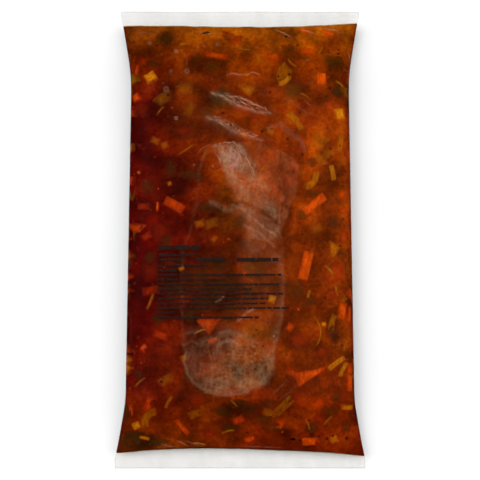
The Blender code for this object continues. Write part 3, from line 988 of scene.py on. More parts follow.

# dark scraps of leaf; the one at (220, 98) stands in for painted shade beside the crease above it
for px, py, wide, high, depth, tone in [
    (130, 36, 11, 16, 0.7, 0.30), (167, 38, 10, 16, 0.6, 0.25), (195, 57, 12, 22, 1.3, 0.35), (212, 66, 16, 12, 1.5, 0.35),
    (228, 35.5, 12, 9, 0.6, 0.30), (220, 98, 17, 20, 0.9, 0.35), (206, 112, 20, 11, 1.7, 0.35), (288, 48, 13, 13, 0.7, 0.30),
    (333, 60, 20, 16, 1.0, 0.30), (294, 88, 17, 20, 1.2, 0.60), (338, 90, 10, 15, 0.6, 0.25), (170, 168, 12, 20, 1.6, 0.30),
    (147, 186, 15, 16, 1.6, 0.25), (190, 174, 20, 9, 1.6, 0.30), (312, 162, 11, 9, 1.0, 0.30), (303, 214, 14, 12, 1.4, 0.35),
    (335, 221, 18, 12, 1.2, 0.30), (342, 252, 12, 16, 1.3, 0.30), (296, 289, 22, 22, 1.2, 0.30), (138, 441, 32, 16, 0.8, 0.30),
    (160, 444, 22, 9, 1.0, 0.30), (126, 412, 8, 14, 0.7, 0.20), (312, 428, 13, 10, 0.9, 0.30), (331, 412, 16, 14, 1.2, 0.30),
    (166, 240, 14, 12, 2.0, 0.25), (149, 257, 12, 14, 2.2, 0.25), (240, 405, 26, 9, 1.8, 0.30), (188, 377, 12, 12, 1.3, 0.25),
    (137, 374, 8, 9, 1.1, 0.25), (266, 90, 11, 7, 1.4, 0.45), (313, 193, 12, 9, 1.4, 0.40), (346, 428, 10, 14, 1.0, 0.30),
    (276, 428, 20, 9, 2.0, 0.30), (231, 429, 20, 8, 1.8, 0.30), (153, 62, 14, 10, 1.6, 0.35), (310, 300, 12, 14, 1.9, 0.35),
    (158, 318, 16, 10, 2.4, 0.30), (222, 412, 18, 9, 2.2, 0.28), (256, 268, 26, 18, 2.6, 0.40), (212, 292, 24, 18, 2.6, 0.45),
    (236, 306, 22, 12, 2.4, 0.40), (206, 206, 18, 12, 2.4, 0.40), (176, 263, 22, 18, 1.5, 0.20), (197, 277, 26, 22, 1.4, 0.20), (219, 264, 22, 18, 1.6, 0.22),
    (177, 291, 20, 22, 1.5, 0.20), (205, 303, 24, 18, 1.5, 0.22), (233, 283, 20, 20, 1.7, 0.25), (190, 315, 16, 12, 1.7, 0.25),
    (252, 409, 20, 12, 1.4, 0.22), (268, 404, 14, 10, 1.4, 0.22), (262, 421, 18, 12, 1.5, 0.25), (229, 318, 18, 12, 1.6, 0.25),
    (168, 283, 12, 16, 1.6, 0.20), (219, 283, 20, 14, 1.9, 0.22), (250, 290, 16, 20, 2.0, 0.30), (333, 332, 12, 12, 1.0, 0.20), (240, 222, 16, 20, 2.4, 0.40), (338, 398, 12, 10, 1.6, 0.30),
]:
    a, b = wide * PIXEL * 0.58, high * PIXEL * 0.58
    shape = leaf_piece(b, a / b, 0.10, 0.0005, 0.34, int(px * 3 + py))
    at_pixel(LEAF, shape, px, py, 0, depth / 1000, tone)
at_pixel(BEAN, ball_piece((*px_mm(12, 16), 0.007), 0.05, 31), 335, 337, 8, 0.0006, 0.25)
at_pixel(BEAN, ball_piece((*px_mm(9, 13), 0.006), 0.06, 32), 341, 92, -10, 0.0012, 0.20)
at_pixel(BEAN, ball_piece((*px_mm(9, 9), 0.006), 0.06, 33), 136, 374, 10, 0.0016, 0.20)

# soft red bits of tomato, deeper in
for px, py, wide, high, depth, tone in [
    (143, 60, 22, 16, 1.8, 0.75), (140, 108, 18, 22, 2.0, 0.45), (240, 110, 30, 12, 1.8, 0.55), (268, 90, 26, 14, 1.8, 0.60),
    (180, 300, 26, 22, 2.6, 0.45), (166, 350, 30, 20, 2.0, 0.50), (300, 340, 26, 20, 1.9, 0.70), (300, 402, 24, 18, 1.8, 0.65),
    (320, 420, 20, 12, 1.6, 0.65), (345, 395, 14, 18, 1.6, 0.70), (260, 430, 20, 10, 1.8, 0.50), (210, 436, 26, 12, 1.8, 0.50),
    (160, 230, 26, 20, 2.6, 0.40), (150, 270, 22, 26, 2.6, 0.40), (300, 150, 16, 20, 1.9, 0.65), (290, 180, 22, 24, 1.8, 0.70),
    (235, 38, 26, 12, 1.8, 0.60), (310, 120, 24, 14, 2.0, 0.60), (185, 130, 26, 16, 2.4, 0.45), (170, 262, 22, 14, 2.4, 0.40),
    (334, 295, 18, 16, 1.8, 0.70), (323, 352, 22, 14, 1.8, 0.65), (345, 268, 10, 18, 1.4, 0.70), (150, 400, 20, 16, 2.2, 0.45),
    (263, 396, 24, 14, 2.2, 0.45), (198, 400, 24, 14, 2.4, 0.42), (226, 20 + 12, 18, 8, 2.0, 0.55),
]:
    shape = ball_piece((*px_mm(wide, high), 0.005), 0.22, int(px + py), 8, 16)
    at_pixel(TOMATO, shape, px, py, rng.uniform(-30, 30), depth / 1000, tone, reach=0.004)

# black flecks that stand out
for px, py, size in [
    (312, 435, 5), (300, 441, 3.2), (327, 439, 3), (347, 438.5, 4), (319, 437, 2.6), (333, 436, 2.2), (270, 92, 2.6),
    (158, 81, 2), (153, 80, 1.6), (223, 113, 3.4), (140, 131, 3), (262, 131, 3), (330, 88, 4), (300, 112, 2.6),
]:
    at_pixel(HERB, leaf_piece(size * PIXEL / 2, 1.1, 0.2, 0.0004, 0.3, int(px), 3, 10), px, py, 0, 0.0004, 0.2)


# the rest of the soup: scattered all round, shallow and deep, keeping clear of what is placed
def spots(count, top_share=0.5, sides=False):
    """Random places on the loft, evenly by area, with the way the film faces there. With sides
    they are only on the bag's upright sides."""
    out = []
    while len(out) < count:
        side = "top" if rng.random() < top_share else "under"
        share, s = rng.uniform(0.0, 1.0), rng.uniform(0.020, BAG_LENGTH - 0.021)
        if sides:
            share, s = (0.07 * share if share < 0.5 else 1 - 0.07 * (1 - share)), rng.uniform(0.05, BAG_LENGTH - 0.05)
        e = 0.004
        p = loft(side, share, s)
        du = loft(side, min(share + e, 1), s) - loft(side, max(share - e, 0), s)
        ds = loft(side, share, s + 0.001) - loft(side, share, s - 0.001)
        n = np.cross(du, ds)
        area = np.linalg.norm(n)
        n = n / max(area, 1e-12)
        middle = np.array([0.0, p[1], lowest(s) + 0.5 * np.interp(s, STATIONS, THICK)])
        if n @ (p - middle) < 0:
            n = -n
        if sides and abs(n[0]) < 0.8:
            continue
        out.append((side, s, p, n))
    return out


QUIET = [(146, 218, 26), (145, 289, 15)]  # pixels and reach: places where the photograph shows no bright dice


def scatter(kind, count, make, depths, tones, top_share=0.5, seed=0, crowd=0.8, lean=0.35, sides=False):
    """Puts count pieces of a kind at random, less often where something near the surface is."""
    placed = 0
    for side, s, p, n in spots(count * 3, top_share, sides):
        if placed >= count:
            break
        shape = make(int(rng.integers(1, 9999)))
        reach = np.abs(shape[0][:, :2]).max()
        depth = rng.uniform(*depths)
        near = np.array(taken)
        gap = np.linalg.norm(near[:, :3] - p, axis=1) - crowd * (near[:, 3] + reach)
        if side == "top" and depth < 0.0035 and gap.min() < 0:
            continue
        if side == "under" and depth < 0.002 and gap.min() < 0:
            continue
        rise = shape[0][:, 2].max()
        thick = np.interp(s, STATIONS, THICK)
        if depth + 2 * rise > 0.46 * thick:
            continue
        lay = (rng.uniform(-lean, lean), rng.uniform(-lean, lean))
        extra = reach * 0.5 * max(abs(lay[0]), abs(lay[1])) + 0.0008 * abs(n[0])
        near_side = 0.85 * n[0] ** 2  # at the sides the pieces lie close under the film
        centre = p - n * ((depth + GAP + 0.0004 + extra) * (1 - near_side) + 0.0003 * near_side + rise)
        turn, tone = rng.uniform(0, math.tau), rng.uniform(*tones)
        placed += 1
        if kind is CARROT and side == "top" and depth < 0.004:
            if any(np.linalg.norm(p - seen_at(px, py)) < far * PIXEL for px, py, far in QUIET):
                continue
        if not (kind in (HERB, LEAF) and thick < 0.012):  # near a weld a loose dark scrap looks like a hole
            kind.add(shape, centre, n, turn, tone, lay)
        if depth < 0.0025:
            taken.append((*p, reach))


def dice(seed):
    r = np.random.default_rng(seed)
    size = mm(r.uniform(6.5, 10), r.uniform(6, 9.5), r.uniform(4.5, 7))
    return cut_piece(size, (6, 6, 3), 0.0006, 0, r.uniform(-0.2, 0.2), r.uniform(-0.3, 0.3), 0.07, 0, seed)


def stick(seed):
    r = np.random.default_rng(seed)
    size = mm(r.uniform(12, 24), r.uniform(5, 8), r.uniform(3.5, 5))
    return cut_piece(size, (12, 5, 3), 0.0006, r.uniform(-0.3, 0.3), r.uniform(-0.5, 0.5), r.uniform(-0.2, 0.2), 0.07, 0, seed)


def slice_of_celery(seed):
    r = np.random.default_rng(seed)
    size = mm(r.uniform(10, 20), r.uniform(4.5, 9), r.uniform(2.4, 3.6))
    return cut_piece(size, (12, 5, 3), 0.0006, r.choice([-1, 1]) * r.uniform(0.4, 1.9), r.uniform(-0.3, 0.3), 0, 0.09, 0.5, seed)


def sliver(seed):
    r = np.random.default_rng(seed)
    size = mm(r.uniform(8, 20), r.uniform(1.3, 3.6), r.uniform(1.2, 2.4))
    return cut_piece(size, (14, 4, 3), 0.0005, r.choice([-1, 1]) * r.uniform(0.3, 1.5), 0, 0, 0.12, 0, seed)


def scrap(seed):
    r = np.random.default_rng(seed)
    return leaf_piece(r.uniform(0.004, 0.010), r.uniform(0.6, 1.3), 0.16, 0.0005, 0.35, seed)


def bit(seed):
    r = np.random.default_rng(seed)
    return ball_piece(mm(r.uniform(9, 20), r.uniform(8, 15), r.uniform(3.5, 6)), 0.25, seed, 7, 12)


def bean(seed):
    r = np.random.default_rng(seed)
    return ball_piece(mm(r.uniform(9, 12), r.uniform(6.5, 8), r.uniform(5.5, 7)), 0.05, seed, 8, 14, r.uniform(0, 0.3))


def fleck(seed):
    r = np.random.default_rng(seed)
    return leaf_piece(r.uniform(0.0006, 0.0016), r.uniform(0.5, 1.2), 0.25, 0.00035, 0.35, seed, 2, 8)


# shallow pieces on the underside and the sides, as many as the top shows
scatter(CARROT, 26, dice, (0.0004, 0.0020), (0.55, 0.95), 0.0)
scatter(CARROT, 20, stick, (0.0004, 0.0020), (0.55, 0.9), 0.0)
scatter(POTATO, 22, dice, (0.0004, 0.0018), (0.40, 0.8), 0.0)
scatter(CELERY, 30, slice_of_celery, (0.0005, 0.0022), (0.45, 0.85), 0.0)
scatter(ONION, 34, sliver, (0.0004, 0.0015), (0.3, 0.6), 0.0)
scatter(LEAF, 36, scrap, (0.0006, 0.0020), (0.15, 0.5), 0.0)
scatter(BEAN, 8, bean, (0.0006, 0.0020), (0.1, 0.4), 0.0)
# crumbs of all of them
def crumb(seed):
    r = np.random.default_rng(seed)
    long = r.uniform(0.0012, 0.0040)
    return ball_piece((long, long * r.uniform(0.45, 0.9), long * 0.5), 0.22, seed, 5, 8)


scatter(POTATO, 150, crumb, (0.0004, 0.0024), (-0.1, 0.35), 0.5, crowd=0.0)
scatter(CELERY, 130, crumb, (0.0004, 0.0024), (0.0, 0.6), 0.5, crowd=0.0)
scatter(CARROT, 170, crumb, (0.0003, 0.0024), (0.3, 0.85), 0.5, crowd=0.0)
scatter(TOMATO, 120, crumb, (0.0003, 0.0024), (0.3, 0.8), 0.5, crowd=0.0)
# more on the upright sides
for kind, count, make, tones in [
    (CARROT, 12, dice, (0.55, 0.95)), (CARROT, 8, stick, (0.55, 0.9)), (POTATO, 12, dice, (0.40, 0.8)),
    (CELERY, 14, slice_of_celery, (0.45, 0.85)), (ONION, 16, sliver, (0.3, 0.6)), (LEAF, 12, scrap, (0.15, 0.5)),
]:
    scatter(kind, count, make, (0.0004, 0.0016), tones, 0.5, crowd=0.6, lean=0.15, sides=True)
# and the dim ones in between, all round
scatter(CELERY, 70, slice_of_celery, (0.0024, 0.0042), (0.3, 0.75), 0.55)
scatter(CARROT, 60, dice, (0.0026, 0.0044), (0.35, 0.75), 0.5)
scatter(CARROT, 30, stick, (0.0026, 0.0044), (0.35, 0.75), 0.5)
scatter(POTATO, 44, dice, (0.0026, 0.0044), (0.15, 0.45), 0.5)
scatter(ONION, 70, sliver, (0.0012, 0.0036), (0.15, 0.45), 0.55)
scatter(LEAF, 80, scrap, (0.0020, 0.0044), (0.15, 0.6), 0.5)
scatter(TOMATO, 90, bit, (0.0018, 0.0040), (0.3, 0.75), 0.45)
scatter(HERB, 620, fleck, (0.0002, 0.0022), (0.0, 0.8), 0.55, crowd=0.0)

food = [kind.build() for kind in KINDS]

# ---- heart, broth and film ---------------------------------------------------------------------


def lumpy(rings, s):
    """The heart's top and underside are uneven, so that the broth is deeper here and there. Its
    sides are plain, because they lie close under the film."""
    p = rings.copy()
    across = np.abs(p[..., 0])
    flat = 1 - (across / across.max(axis=1, keepdims=True)) ** 8
    way = np.where(np.arange(p.shape[1]) < p.shape[1] // 2, 1.0, -1.0)
    room = eased((end_of(s) - 0.016) / 0.030)
    p[..., 2] += way * flat * (0.0002 + 0.0012 * room) * clouds(p, 0.011, 3, 21)
    return p


heart = filled("soup_heart", 110, 230, HEART, 0.0006, 0.0014, lumpy, 0.20, 0.0034)
p = np.array([v.co[:] for v in heart.data.vertices])
away = half_width(BAG_LENGTH / 2 - p[:, 1]) - np.abs(p[:, 0])
# side is 1 close to the bag's sides, where the heart gets its painted shade
layer = heart.data.attributes.new("side", "FLOAT", "POINT")
layer.data.foreach_set("value", np.exp(-np.maximum(away - 0.0013, 0) / 0.0016).astype(np.float32))
heart.data.materials.append(stew_material())

broth = filled("frozen_broth", 118, 210, GAP, 0.0, 0.0016)
broth.data.materials.append(broth_material())

n_film, lines_film = 104, 300
v = np.linspace(0.0, 1.0, lines_film)
v = v - 0.10 * np.sin(2 * math.pi * v) / (2 * math.pi)
s_film = np.repeat((v * BAG_LENGTH)[:, None], 2 * n_film, axis=1)
rings = loop_of(n_film, s_film, 0.0, opened=False)
verts, faces = skin(rings)
end = end_of(s_film).ravel()
line = np.where(verts[:, 1] > 0, soup_line(HEAD_LINE, verts[:, 0]), soup_line(FOOT_LINE, verts[:, 0]))
dry = 1 - eased((end - line + 0.0008) / 0.0014)
welded = 1 - eased((end - 0.0050) / 0.0012)
cut = 1 - eased(end / 0.0011)
cut = np.maximum(cut, eased((np.abs(verts[:, 0]) - 0.1040) / 0.0008) * (end < 0.012))
patchy = 1 + 0.30 * clouds(flat_points(verts[:, 0], verts[:, 1] * 0.4), 0.013, 3, 33)
veil = np.clip(dry * (0.25 + 0.03 * welded) * patchy + 0.40 * cut, 0, 1)
film = make_object("clear_film", verts, faces, {"veil": veil})
film.data.materials.append(film_material())

# ---- frost and painted sheen under the lifted film, bubbles with painted glints, and creases with painted highlights ---
PATCH = np.array([
    (209, 144), (231, 140), (262, 141), (292, 154), (300, 165), (300, 187), (292, 207), (283, 232), (286, 262),
    (286, 320), (279, 340), (276, 364), (267, 384), (248, 394), (226, 397), (209, 393), (196, 386), (183, 366),
    (181, 340), (180, 323), (180, 250), (188, 232), (193, 207), (196, 182), (200, 159),
], float)


def inside_by(px, py, outline):
    """How far points lie inside an outline, in pixels; negative outside."""
    p = np.stack([px, py], axis=-1)[..., None, :]
    a, b = outline, np.roll(outline, -1, axis=0)
    ab = b - a
    t = np.clip(((p - a) * ab).sum(-1) / (ab**2).sum(-1), 0, 1)
    far = np.linalg.norm(p - (a + t[..., None] * ab), axis=-1).min(-1)
    x, y = px[..., None], py[..., None]
    cross = ((a[:, 1] > y) != (b[:, 1] > y)) & (x < ab[:, 0] * (y - a[:, 1]) / np.where(ab[:, 1] == 0, 1e-9, ab[:, 1]) + a[:, 0])
    return np.where(cross.sum(-1) % 2 == 1, far, -far)


def near_line(px, py, points, width):
    """From 1 on a line of points to 0 at width pixels from it."""
    points = np.array(points, float)
    a, b = points[:-1], points[1:]
    p = np.stack([px, py], axis=-1)[..., None, :]
    ab = b - a
    t = np.clip(((p - a) * ab).sum(-1) / (ab**2).sum(-1), 0, 1)
    far = np.linalg.norm(p - (a + t[..., None] * ab), axis=-1).min(-1)
    return np.clip(1 - far / width, 0, 1)


def ridged(p, scale, seed, sharp=3.0):
    return np.clip(1 - np.abs(noise(p, scale, seed)) * 1.6, 0, 1) ** sharp


def frost_and_sheen_sheet():
    # this patch is frost under the film, and its lightness is partly painted reflection from the film parted over air
    step = 0.9
    px, py = np.meshgrid(np.arange(176, 306, step), np.arange(90, 402, step), indexing="xy")
    q = flat_points(px, py)
    wander = np.stack([noise(q, 9, 51), noise(q, 9, 52)], axis=-1) * 2.0
    wx, wy = px + wander[..., 0], py + wander[..., 1]
    depth = inside_by(wx, wy, PATCH)
    body = eased(depth / 3.5)
    rim = np.exp(-((depth - 2.0) / 1.5) ** 2)
    # fine streaks run down the bag; round the lower oval they run round it
    streak = clouds(np.stack([px + 0.12 * py, py * 0.16, px * 0], axis=-1), 2.6, 3, 71)
    slant = clouds(np.stack([px * 0.5 + 0.25 * py, (py - 0.5 * px), px * 0], axis=-1), 7.0, 3, 72)
    dx, dy = px - 237.0, (py - 362.0) * 1.4
    around = np.arctan2(dy, dx)
    away = np.hypot(dx, dy)
    swirl = clouds(np.stack([np.cos(around) * 15, np.sin(around) * 15, away * 1.05 + noise(q, 13, 62) * 9], axis=-1), 3.8, 3, 73)
    low = eased((py - 325) / 22)
    crinkle = (0.55 * streak + 0.50 * slant) * (1 - low) + (0.95 * swirl + 0.45 * streak + 0.25 * slant) * low
    hatch = ridged(np.stack([px + 0.5 * py, (py - 1.6 * px) * 0.22, px * 0], axis=-1), 3.2, 75, 2.0)
    hatch = hatch + ridged(q, 5.0, 76, 2.5) - 0.75
    crinkle = crinkle + 0.45 * hatch
    bars = ridged(np.stack([px * 0.42 + 0.2 * py, py, px * 0], axis=-1), 2.5, 95, 2.0)
    crinkle = crinkle - 1.5 * bars * np.exp(-(((wx - 252) / 17) ** 2 + ((wy - 355) / 14) ** 2))
    arcs = ridged(np.stack([px, py * 0.35, px * 0], axis=-1), 3.4, 96, 2.0)
    crinkle = crinkle - 1.1 * arcs * np.exp(-(((wx - 214) / 13) ** 2 + ((wy - 357) / 15) ** 2))
    cloud = np.clip(0.5 + 0.55 * clouds(q, 17, 4, 81), 0, 1)
    # the bright band lies between two edges, sharp on its right
    right = np.interp(wy, [140, 150, 165, 182, 202, 214, 227, 240], [238, 246, 254, 266, 272, 277, 281, 281])
    left = np.interp(wy, [140, 152, 177, 195, 215, 240], [209, 212, 224, 233, 240, 246])
    band = eased((right - wx) / 2.0) * eased((wx - left) / 7.0) * eased((243 - wy) / 8) * eased((wy - 140) / 5)
    # a brighter spot in the band at pixel (231, 160): painted highlight
    band *= 0.82 + 1.25 * np.exp(-(((wx - 231) / 9.5) ** 2 + ((wy - 160) / 13) ** 2))
    gap = near_line(wx, wy, [(243, 202), (253, 207), (266, 215), (280, 226)], 3.6)
    gap = np.maximum(gap, 0.7 * near_line(wx, wy, [(243, 212), (256, 217), (268, 222)], 2.2))
    band *= 1 - 0.85 * gap
    shoulder = eased((wx - right + 3.0) / 3.0) * (wy < 240) * 0.31
    shoulder = shoulder * (0.75 + 0.6 * clouds(np.stack([px, py * 0.45, px * 0], axis=-1), 6.5, 3, 84))
    ankle = near_line(wx, wy, [(212, 203), (224, 208), (238, 212)], 4.5) * 0.26
    knee = near_line(wx, wy, [(250, 246), (268, 247), (283, 262)], 12) * 0.14
    oval = eased((1 - np.hypot((wx - 230) / 49, (wy - 364) / 34)) / 0.16)
    core = 0.8 * np.exp(-(((wx - 244) / 22) ** 2 + ((wy - 355) / 15) ** 2)) + 0.3 * np.exp(-(((wx - 196) / 12) ** 2 + ((wy - 368) / 13) ** 2))
    core += 1.1 * np.exp(-(((wx - 228) / 28) ** 2 + ((wy - 382) / 8) ** 2))
    seam = eased((py - 250) / 20) * np.exp(-((depth - 4.0) / 4.0) ** 2) * (px > 240) * 0.16
    thin = 1 - 0.85 * eased((left - wx) / 6.0 + 0.2) * (wy < 240)
    thin *= 1 - 0.88 * eased((250 - wx) / 18.0) * eased((wy - 228) / 10) * eased((334 - wy) / 8)
    amount = body * (0.015 + 0.035 * cloud) * thin
    amount += body * (band * (0.35 + 0.18 * cloud) + shoulder * (0.4 + cloud) + ankle + knee * (0.5 + cloud) + seam)
    amount += oval * (0.13 + 0.10 * cloud + 0.19 * core) * (0.50 + 0.50 * eased((wx - 192) / 28))
    amount += near_line(wx, wy, [(190, 331), (205, 326), (226, 326), (250, 334)], 5) * 0.06
    amount *= np.clip(1.0 + 0.95 * crinkle, 0.12, 2.2)
    # fine dark cracks across the band, where the film touches the soup again
    cracks = ridged(np.stack([px * 0.55 + 0.2 * py, py - 0.35 * px, px * 0], axis=-1), 4.6, 77, 3.5)
    cracks = cracks * np.clip(0.5 + clouds(q, 9, 3, 78), 0, 1)
    amount *= 1 - 0.75 * np.clip(cracks, 0, 1) * np.clip(band + 0.5 * (shoulder > 0.1), 0, 1) * (wy > 168)
    amount += rim * (0.035 + 0.03 * (px < 215) * (py > 150)) * (0.5 + cloud)
    # creases above the patch and across it: folds in the film drawn as pale lines of painted highlight
    creases = 0.0
    for points, width, strength in [
        ([(212, 93), (222, 96), (232, 103), (244, 108), (258, 112), (270, 113)], 2.6, 0.75),
        ([(226, 95), (240, 97), (252, 102), (262, 108)], 1.8, 0.6),
        ([(207, 117), (220, 122), (231, 130), (246, 136), (262, 140)], 2.8, 0.6),
        ([(214, 117), (226, 120), (240, 128), (256, 136)], 1.6, 0.45),
        ([(268, 128), (280, 124), (290, 132), (300, 140), (305, 150)], 4.5, 0.40),
        ([(216, 303), (223, 297)], 1.6, 0.8), ([(238, 321), (246, 314), (255, 308)], 2.0, 0.8),
        ([(220, 333), (228, 331), (236, 333), (242, 337)], 3.4, 0.42),
        ([(218, 345), (224, 341), (231, 341), (238, 345)], 2.6, 0.5), ([(214, 357), (217, 348), (223, 342)], 2.0, 0.35),
        ([(186, 352), (184, 362), (187, 374), (194, 384), (205, 391)], 2.2, 0.4), ([(205, 392), (222, 396), (240, 394)], 1.8, 0.4), ([(244, 226), (258, 232), (274, 246)], 2.4, 0.45),
        ([(232, 205), (244, 210), (262, 226), (276, 236)], 2.0, 0.45),
        ([(186, 334), (198, 331)], 2.0, 0.25), ([(184, 345), (192, 341), (198, 344)], 1.8, 0.25),
    ]:
        line = near_line(wx * 0.5 + px * 0.5, wy * 0.5 + py * 0.5, points, width)
        creases = np.maximum(creases, strength * line * (0.35 + 0.65 * ridged(q, 3.0, 91, 1.5)))
    near_crease = near_line(px, py, [(215, 94), (240, 104), (272, 113)], 9) * 0.10
    near_crease += near_line(px, py, [(210, 120), (236, 132), (268, 142)], 9) * 0.10
    amount = np.clip(amount + creases * 0.75 + near_crease * (py < 142), 0, 1)
    p = seen_at(px, py)
    n = facing(p)
    lift = 0.00012 * np.clip(crinkle, -1, 1) * np.clip(amount * 3, 0, 1) + 0.00010 * creases
    p = p - n * GAP * 0.5 + n * lift[..., None]
    rows, cols = px.shape
    i, j = np.meshgrid(np.arange(rows - 1), np.arange(cols - 1), indexing="ij")
    quads = np.stack([i * cols + j, (i + 1) * cols + j, (i + 1) * cols + j + 1, i * cols + j + 1], axis=-1).reshape(-1, 4)
    value = amount.ravel()
    keep = value[quads].max(1) > 0.015
    quads = quads[keep]
    used = np.unique(quads)
    back = np.full(rows * cols, -1)
    back[used] = np.arange(len(used))
    warm = eased((wx - right) / 4.0) * (wy < 245) + 0.28 * eased((wy - 204) / 20) * (1 - low) - 0.1 * low
    warm = np.clip(warm * (1 - np.clip(creases * 1.5, 0, 1)), 0, 1).ravel()
    # the pale mix: a painted highlight spot in the band, and painted highlight along the creases
    painted_glint = 0.85 * np.exp(-(((wx - 233) / 8) ** 2 + ((wy - 159) / 10) ** 2)) * (0.6 + 0.6 * cloud)
    painted_glint = np.clip(np.maximum(painted_glint, 0.55 * creases), 0, 1).ravel()
    return p.reshape(-1, 3)[used], back[quads], np.clip(value[used] * 0.52, 0, 0.82), warm[used], painted_glint[used]


def ribbon(points, width, strength, lift=0.00006):
    """A fine raised crease along pixels of the photograph, pointed at both ends, drawn as a pale stroke of painted
    highlight.
    """
    points = np.array(points, float)
    seg = np.linalg.norm(np.diff(points, axis=0), axis=1)
    along = np.concatenate([[0], np.cumsum(seg)])
    t = np.linspace(0, along[-1], max(int(along[-1] / 1.2), 4))
    cx, cy = np.interp(t, along, points[:, 0]), np.interp(t, along, points[:, 1])
    sway = 0.35 if along[-1] < 24 else 1.1
    cx = cx + sway * noise(flat_points(cx, cy), 4, 15)
    cy = cy + sway * noise(flat_points(cx, cy), 4, 16)
    tx, ty = np.gradient(cx), np.gradient(cy)
    length = np.hypot(tx, ty)
    nx, ny = -ty / length, tx / length
    shape = np.sin(np.linspace(0, math.pi, len(t))) ** 0.6
    rows = []
    for k, h in ((-1, 0.0), (-0.5, 0.7), (0, 1.0), (0.5, 0.7), (1, 0.0)):
        p = seen_at(cx + nx * k * width * shape, cy + ny * k * width * shape)
        rows.append(p + facing(p) * (lift * h * shape - GAP * 0.3)[:, None])
    grid = np.stack(rows, axis=1)
    broken = 1.0 if along[-1] < 24 else 0.15 + 1.1 * ridged(flat_points(cx, cy), 4.5, 17, 1.2)
    strengths = np.stack([strength * shape * broken * h for h in (0.0, 0.6, 1.0, 0.6, 0.0)], axis=1)
    n, m = grid.shape[:2]
    i, j = np.meshgrid(np.arange(n - 1), np.arange(m - 1), indexing="ij")
    quads = np.stack([i * m + j, (i + 1) * m + j, (i + 1) * m + j + 1, i * m + j + 1], axis=-1).reshape(-1, 4)
    return grid.reshape(-1, 3), quads, strengths.ravel()


def bubble(px, py, radius, strength=0.5):
    """A flat bubble under the film: a low dome with a bright ring, a painted glint round its rim."""
    rings, turns = 5, 14
    t = np.linspace(0, 2 * math.pi, turns, endpoint=False)
    xs, ys, hs, vs = [np.array([px])], [np.array([py])], [np.array([1.0])], [np.array([0.45])]
    for k in range(1, rings + 1):
        r = radius * k / rings
        xs.append(px + r * np.cos(t))
        ys.append(py + r * np.sin(t))
        hs.append(np.full(turns, 1 - (k / rings) ** 2))
        vs.append(np.full(turns, [0.4, 0.45, 0.7, 1.0, 0.0][k - 1]))
    x, y, h, value = map(np.concatenate, (xs, ys, hs, vs))
    p = seen_at(x, y)
    p = p + facing(p) * (0.00010 * h - GAP * 0.6)[:, None]
    quads = []
    for j in range(turns):
        k = (j + 1) % turns
        quads.append([0, 1 + j, 1 + k, 1 + k])
        for i in range(rings - 1):
            a, b = 1 + i * turns + j, 1 + i * turns + k
            quads.append([a, a + turns, b + turns, b])
    return p, np.array(quads), value * strength * 0.6


frost_and_sheen_verts, frost_and_sheen_quads, frost_and_sheen_values, frost_and_sheen_warm, glint_values = [], [], [], [], []
total = 0
parts = [frost_and_sheen_sheet()]
# streaks along film wrinkles near the welds, the creases and the bag's sides: strokes of painted highlight
for points, width, strength in [
    ([(273, 29), (284, 33), (294, 39)], 0.9, 0.55), ([(297, 29), (308, 31), (318, 35)], 0.8, 0.5),
    ([(324, 28), (334, 30), (343, 34)], 0.8, 0.5), ([(348, 50), (349.5, 57), (351, 64)], 0.8, 0.45),
    ([(225, 76), (232, 73), (240, 75), (247, 74)], 1.3, 0.45), ([(247, 74), (254, 72), (262, 76)], 1.0, 0.5),
    ([(175, 440), (182, 443), (190, 447)], 0.9, 0.4), ([(184, 440), (194, 444), (205, 447)], 0.8, 0.35),
    ([(160, 443), (168, 446), (176, 447)], 0.9, 0.3), ([(240, 446), (262, 447), (284, 448)], 0.9, 0.3),
    ([(190, 30), (204, 33), (222, 34)], 0.9, 0.3), ([(133, 31), (150, 33), (160, 36)], 0.8, 0.25),
    ([(186, 52), (187, 70)], 0.6, 0.2), ([(276, 404), (290, 392), (300, 381)], 0.8, 0.16),
    ([(268, 398), (280, 388), (290, 376)], 1.0, 0.14), ([(196, 155), (202, 148), (212, 143)], 0.7, 0.3),
    ([(303, 100), (309, 104), (313, 108)], 0.8, 0.3), ([(280, 96), (292, 102), (306, 112), (318, 116)], 0.9, 0.25),
    ([(236, 146), (240, 156), (244, 166)], 0.7, 0.8), ([(212, 165), (214, 168)], 1.0, 0.6),
    ([(211, 149), (221, 143), (233, 142), (243, 148)], 0.8, 1.0), ([(240, 149), (247, 159), (252, 169), (257, 180)], 0.8, 0.9),
    ([(226, 145), (235, 151), (241, 160)], 0.7, 0.8), ([(214, 152), (219, 158), (222, 166)], 0.7, 0.7),
    ([(224, 95), (238, 97), (250, 102), (262, 107), (270, 113)], 0.8, 1.0), ([(214, 93), (226, 98), (240, 106), (256, 110)], 0.7, 0.9),
    ([(232, 100), (244, 103), (254, 108)], 0.6, 0.8), ([(210, 118), (222, 121), (234, 129), (246, 135)], 0.7, 0.8),
    ([(130, 300), (131, 330), (130.5, 360)], 0.6, 0.12), ([(349, 120), (349.5, 150)], 0.5, 0.12),
]:
    parts.append(ribbon(points, width, strength * 0.5))
# short crinkles along the two big creases, each a pale stroke of painted highlight
for path, count in [([(214, 93), (232, 98), (250, 105), (270, 113)], 30), ([(208, 117), (224, 122), (240, 131), (258, 139)], 24)]:
    path = np.array(path, float)
    for _ in range(count):
        t = rng.uniform(0.0, len(path) - 1.001)
        k = int(t)
        ahead = (path[k + 1] - path[k]) / np.linalg.norm(path[k + 1] - path[k])
        spot = path[k] + (path[k + 1] - path[k]) * (t - k) + rng.uniform(-3.2, 3.2, 2)
        turn = rng.uniform(-0.9, 0.9)
        way = np.array([ahead[0] * math.cos(turn) - ahead[1] * math.sin(turn), ahead[0] * math.sin(turn) + ahead[1] * math.cos(turn)])
        reach = rng.uniform(1.6, 4.2)
        points = [tuple(spot - way * reach), tuple(spot + rng.uniform(-0.7, 0.7, 2)), tuple(spot + way * reach)]
        parts.append(ribbon(points, rng.uniform(0.4, 0.8), rng.uniform(0.15, 0.5)))
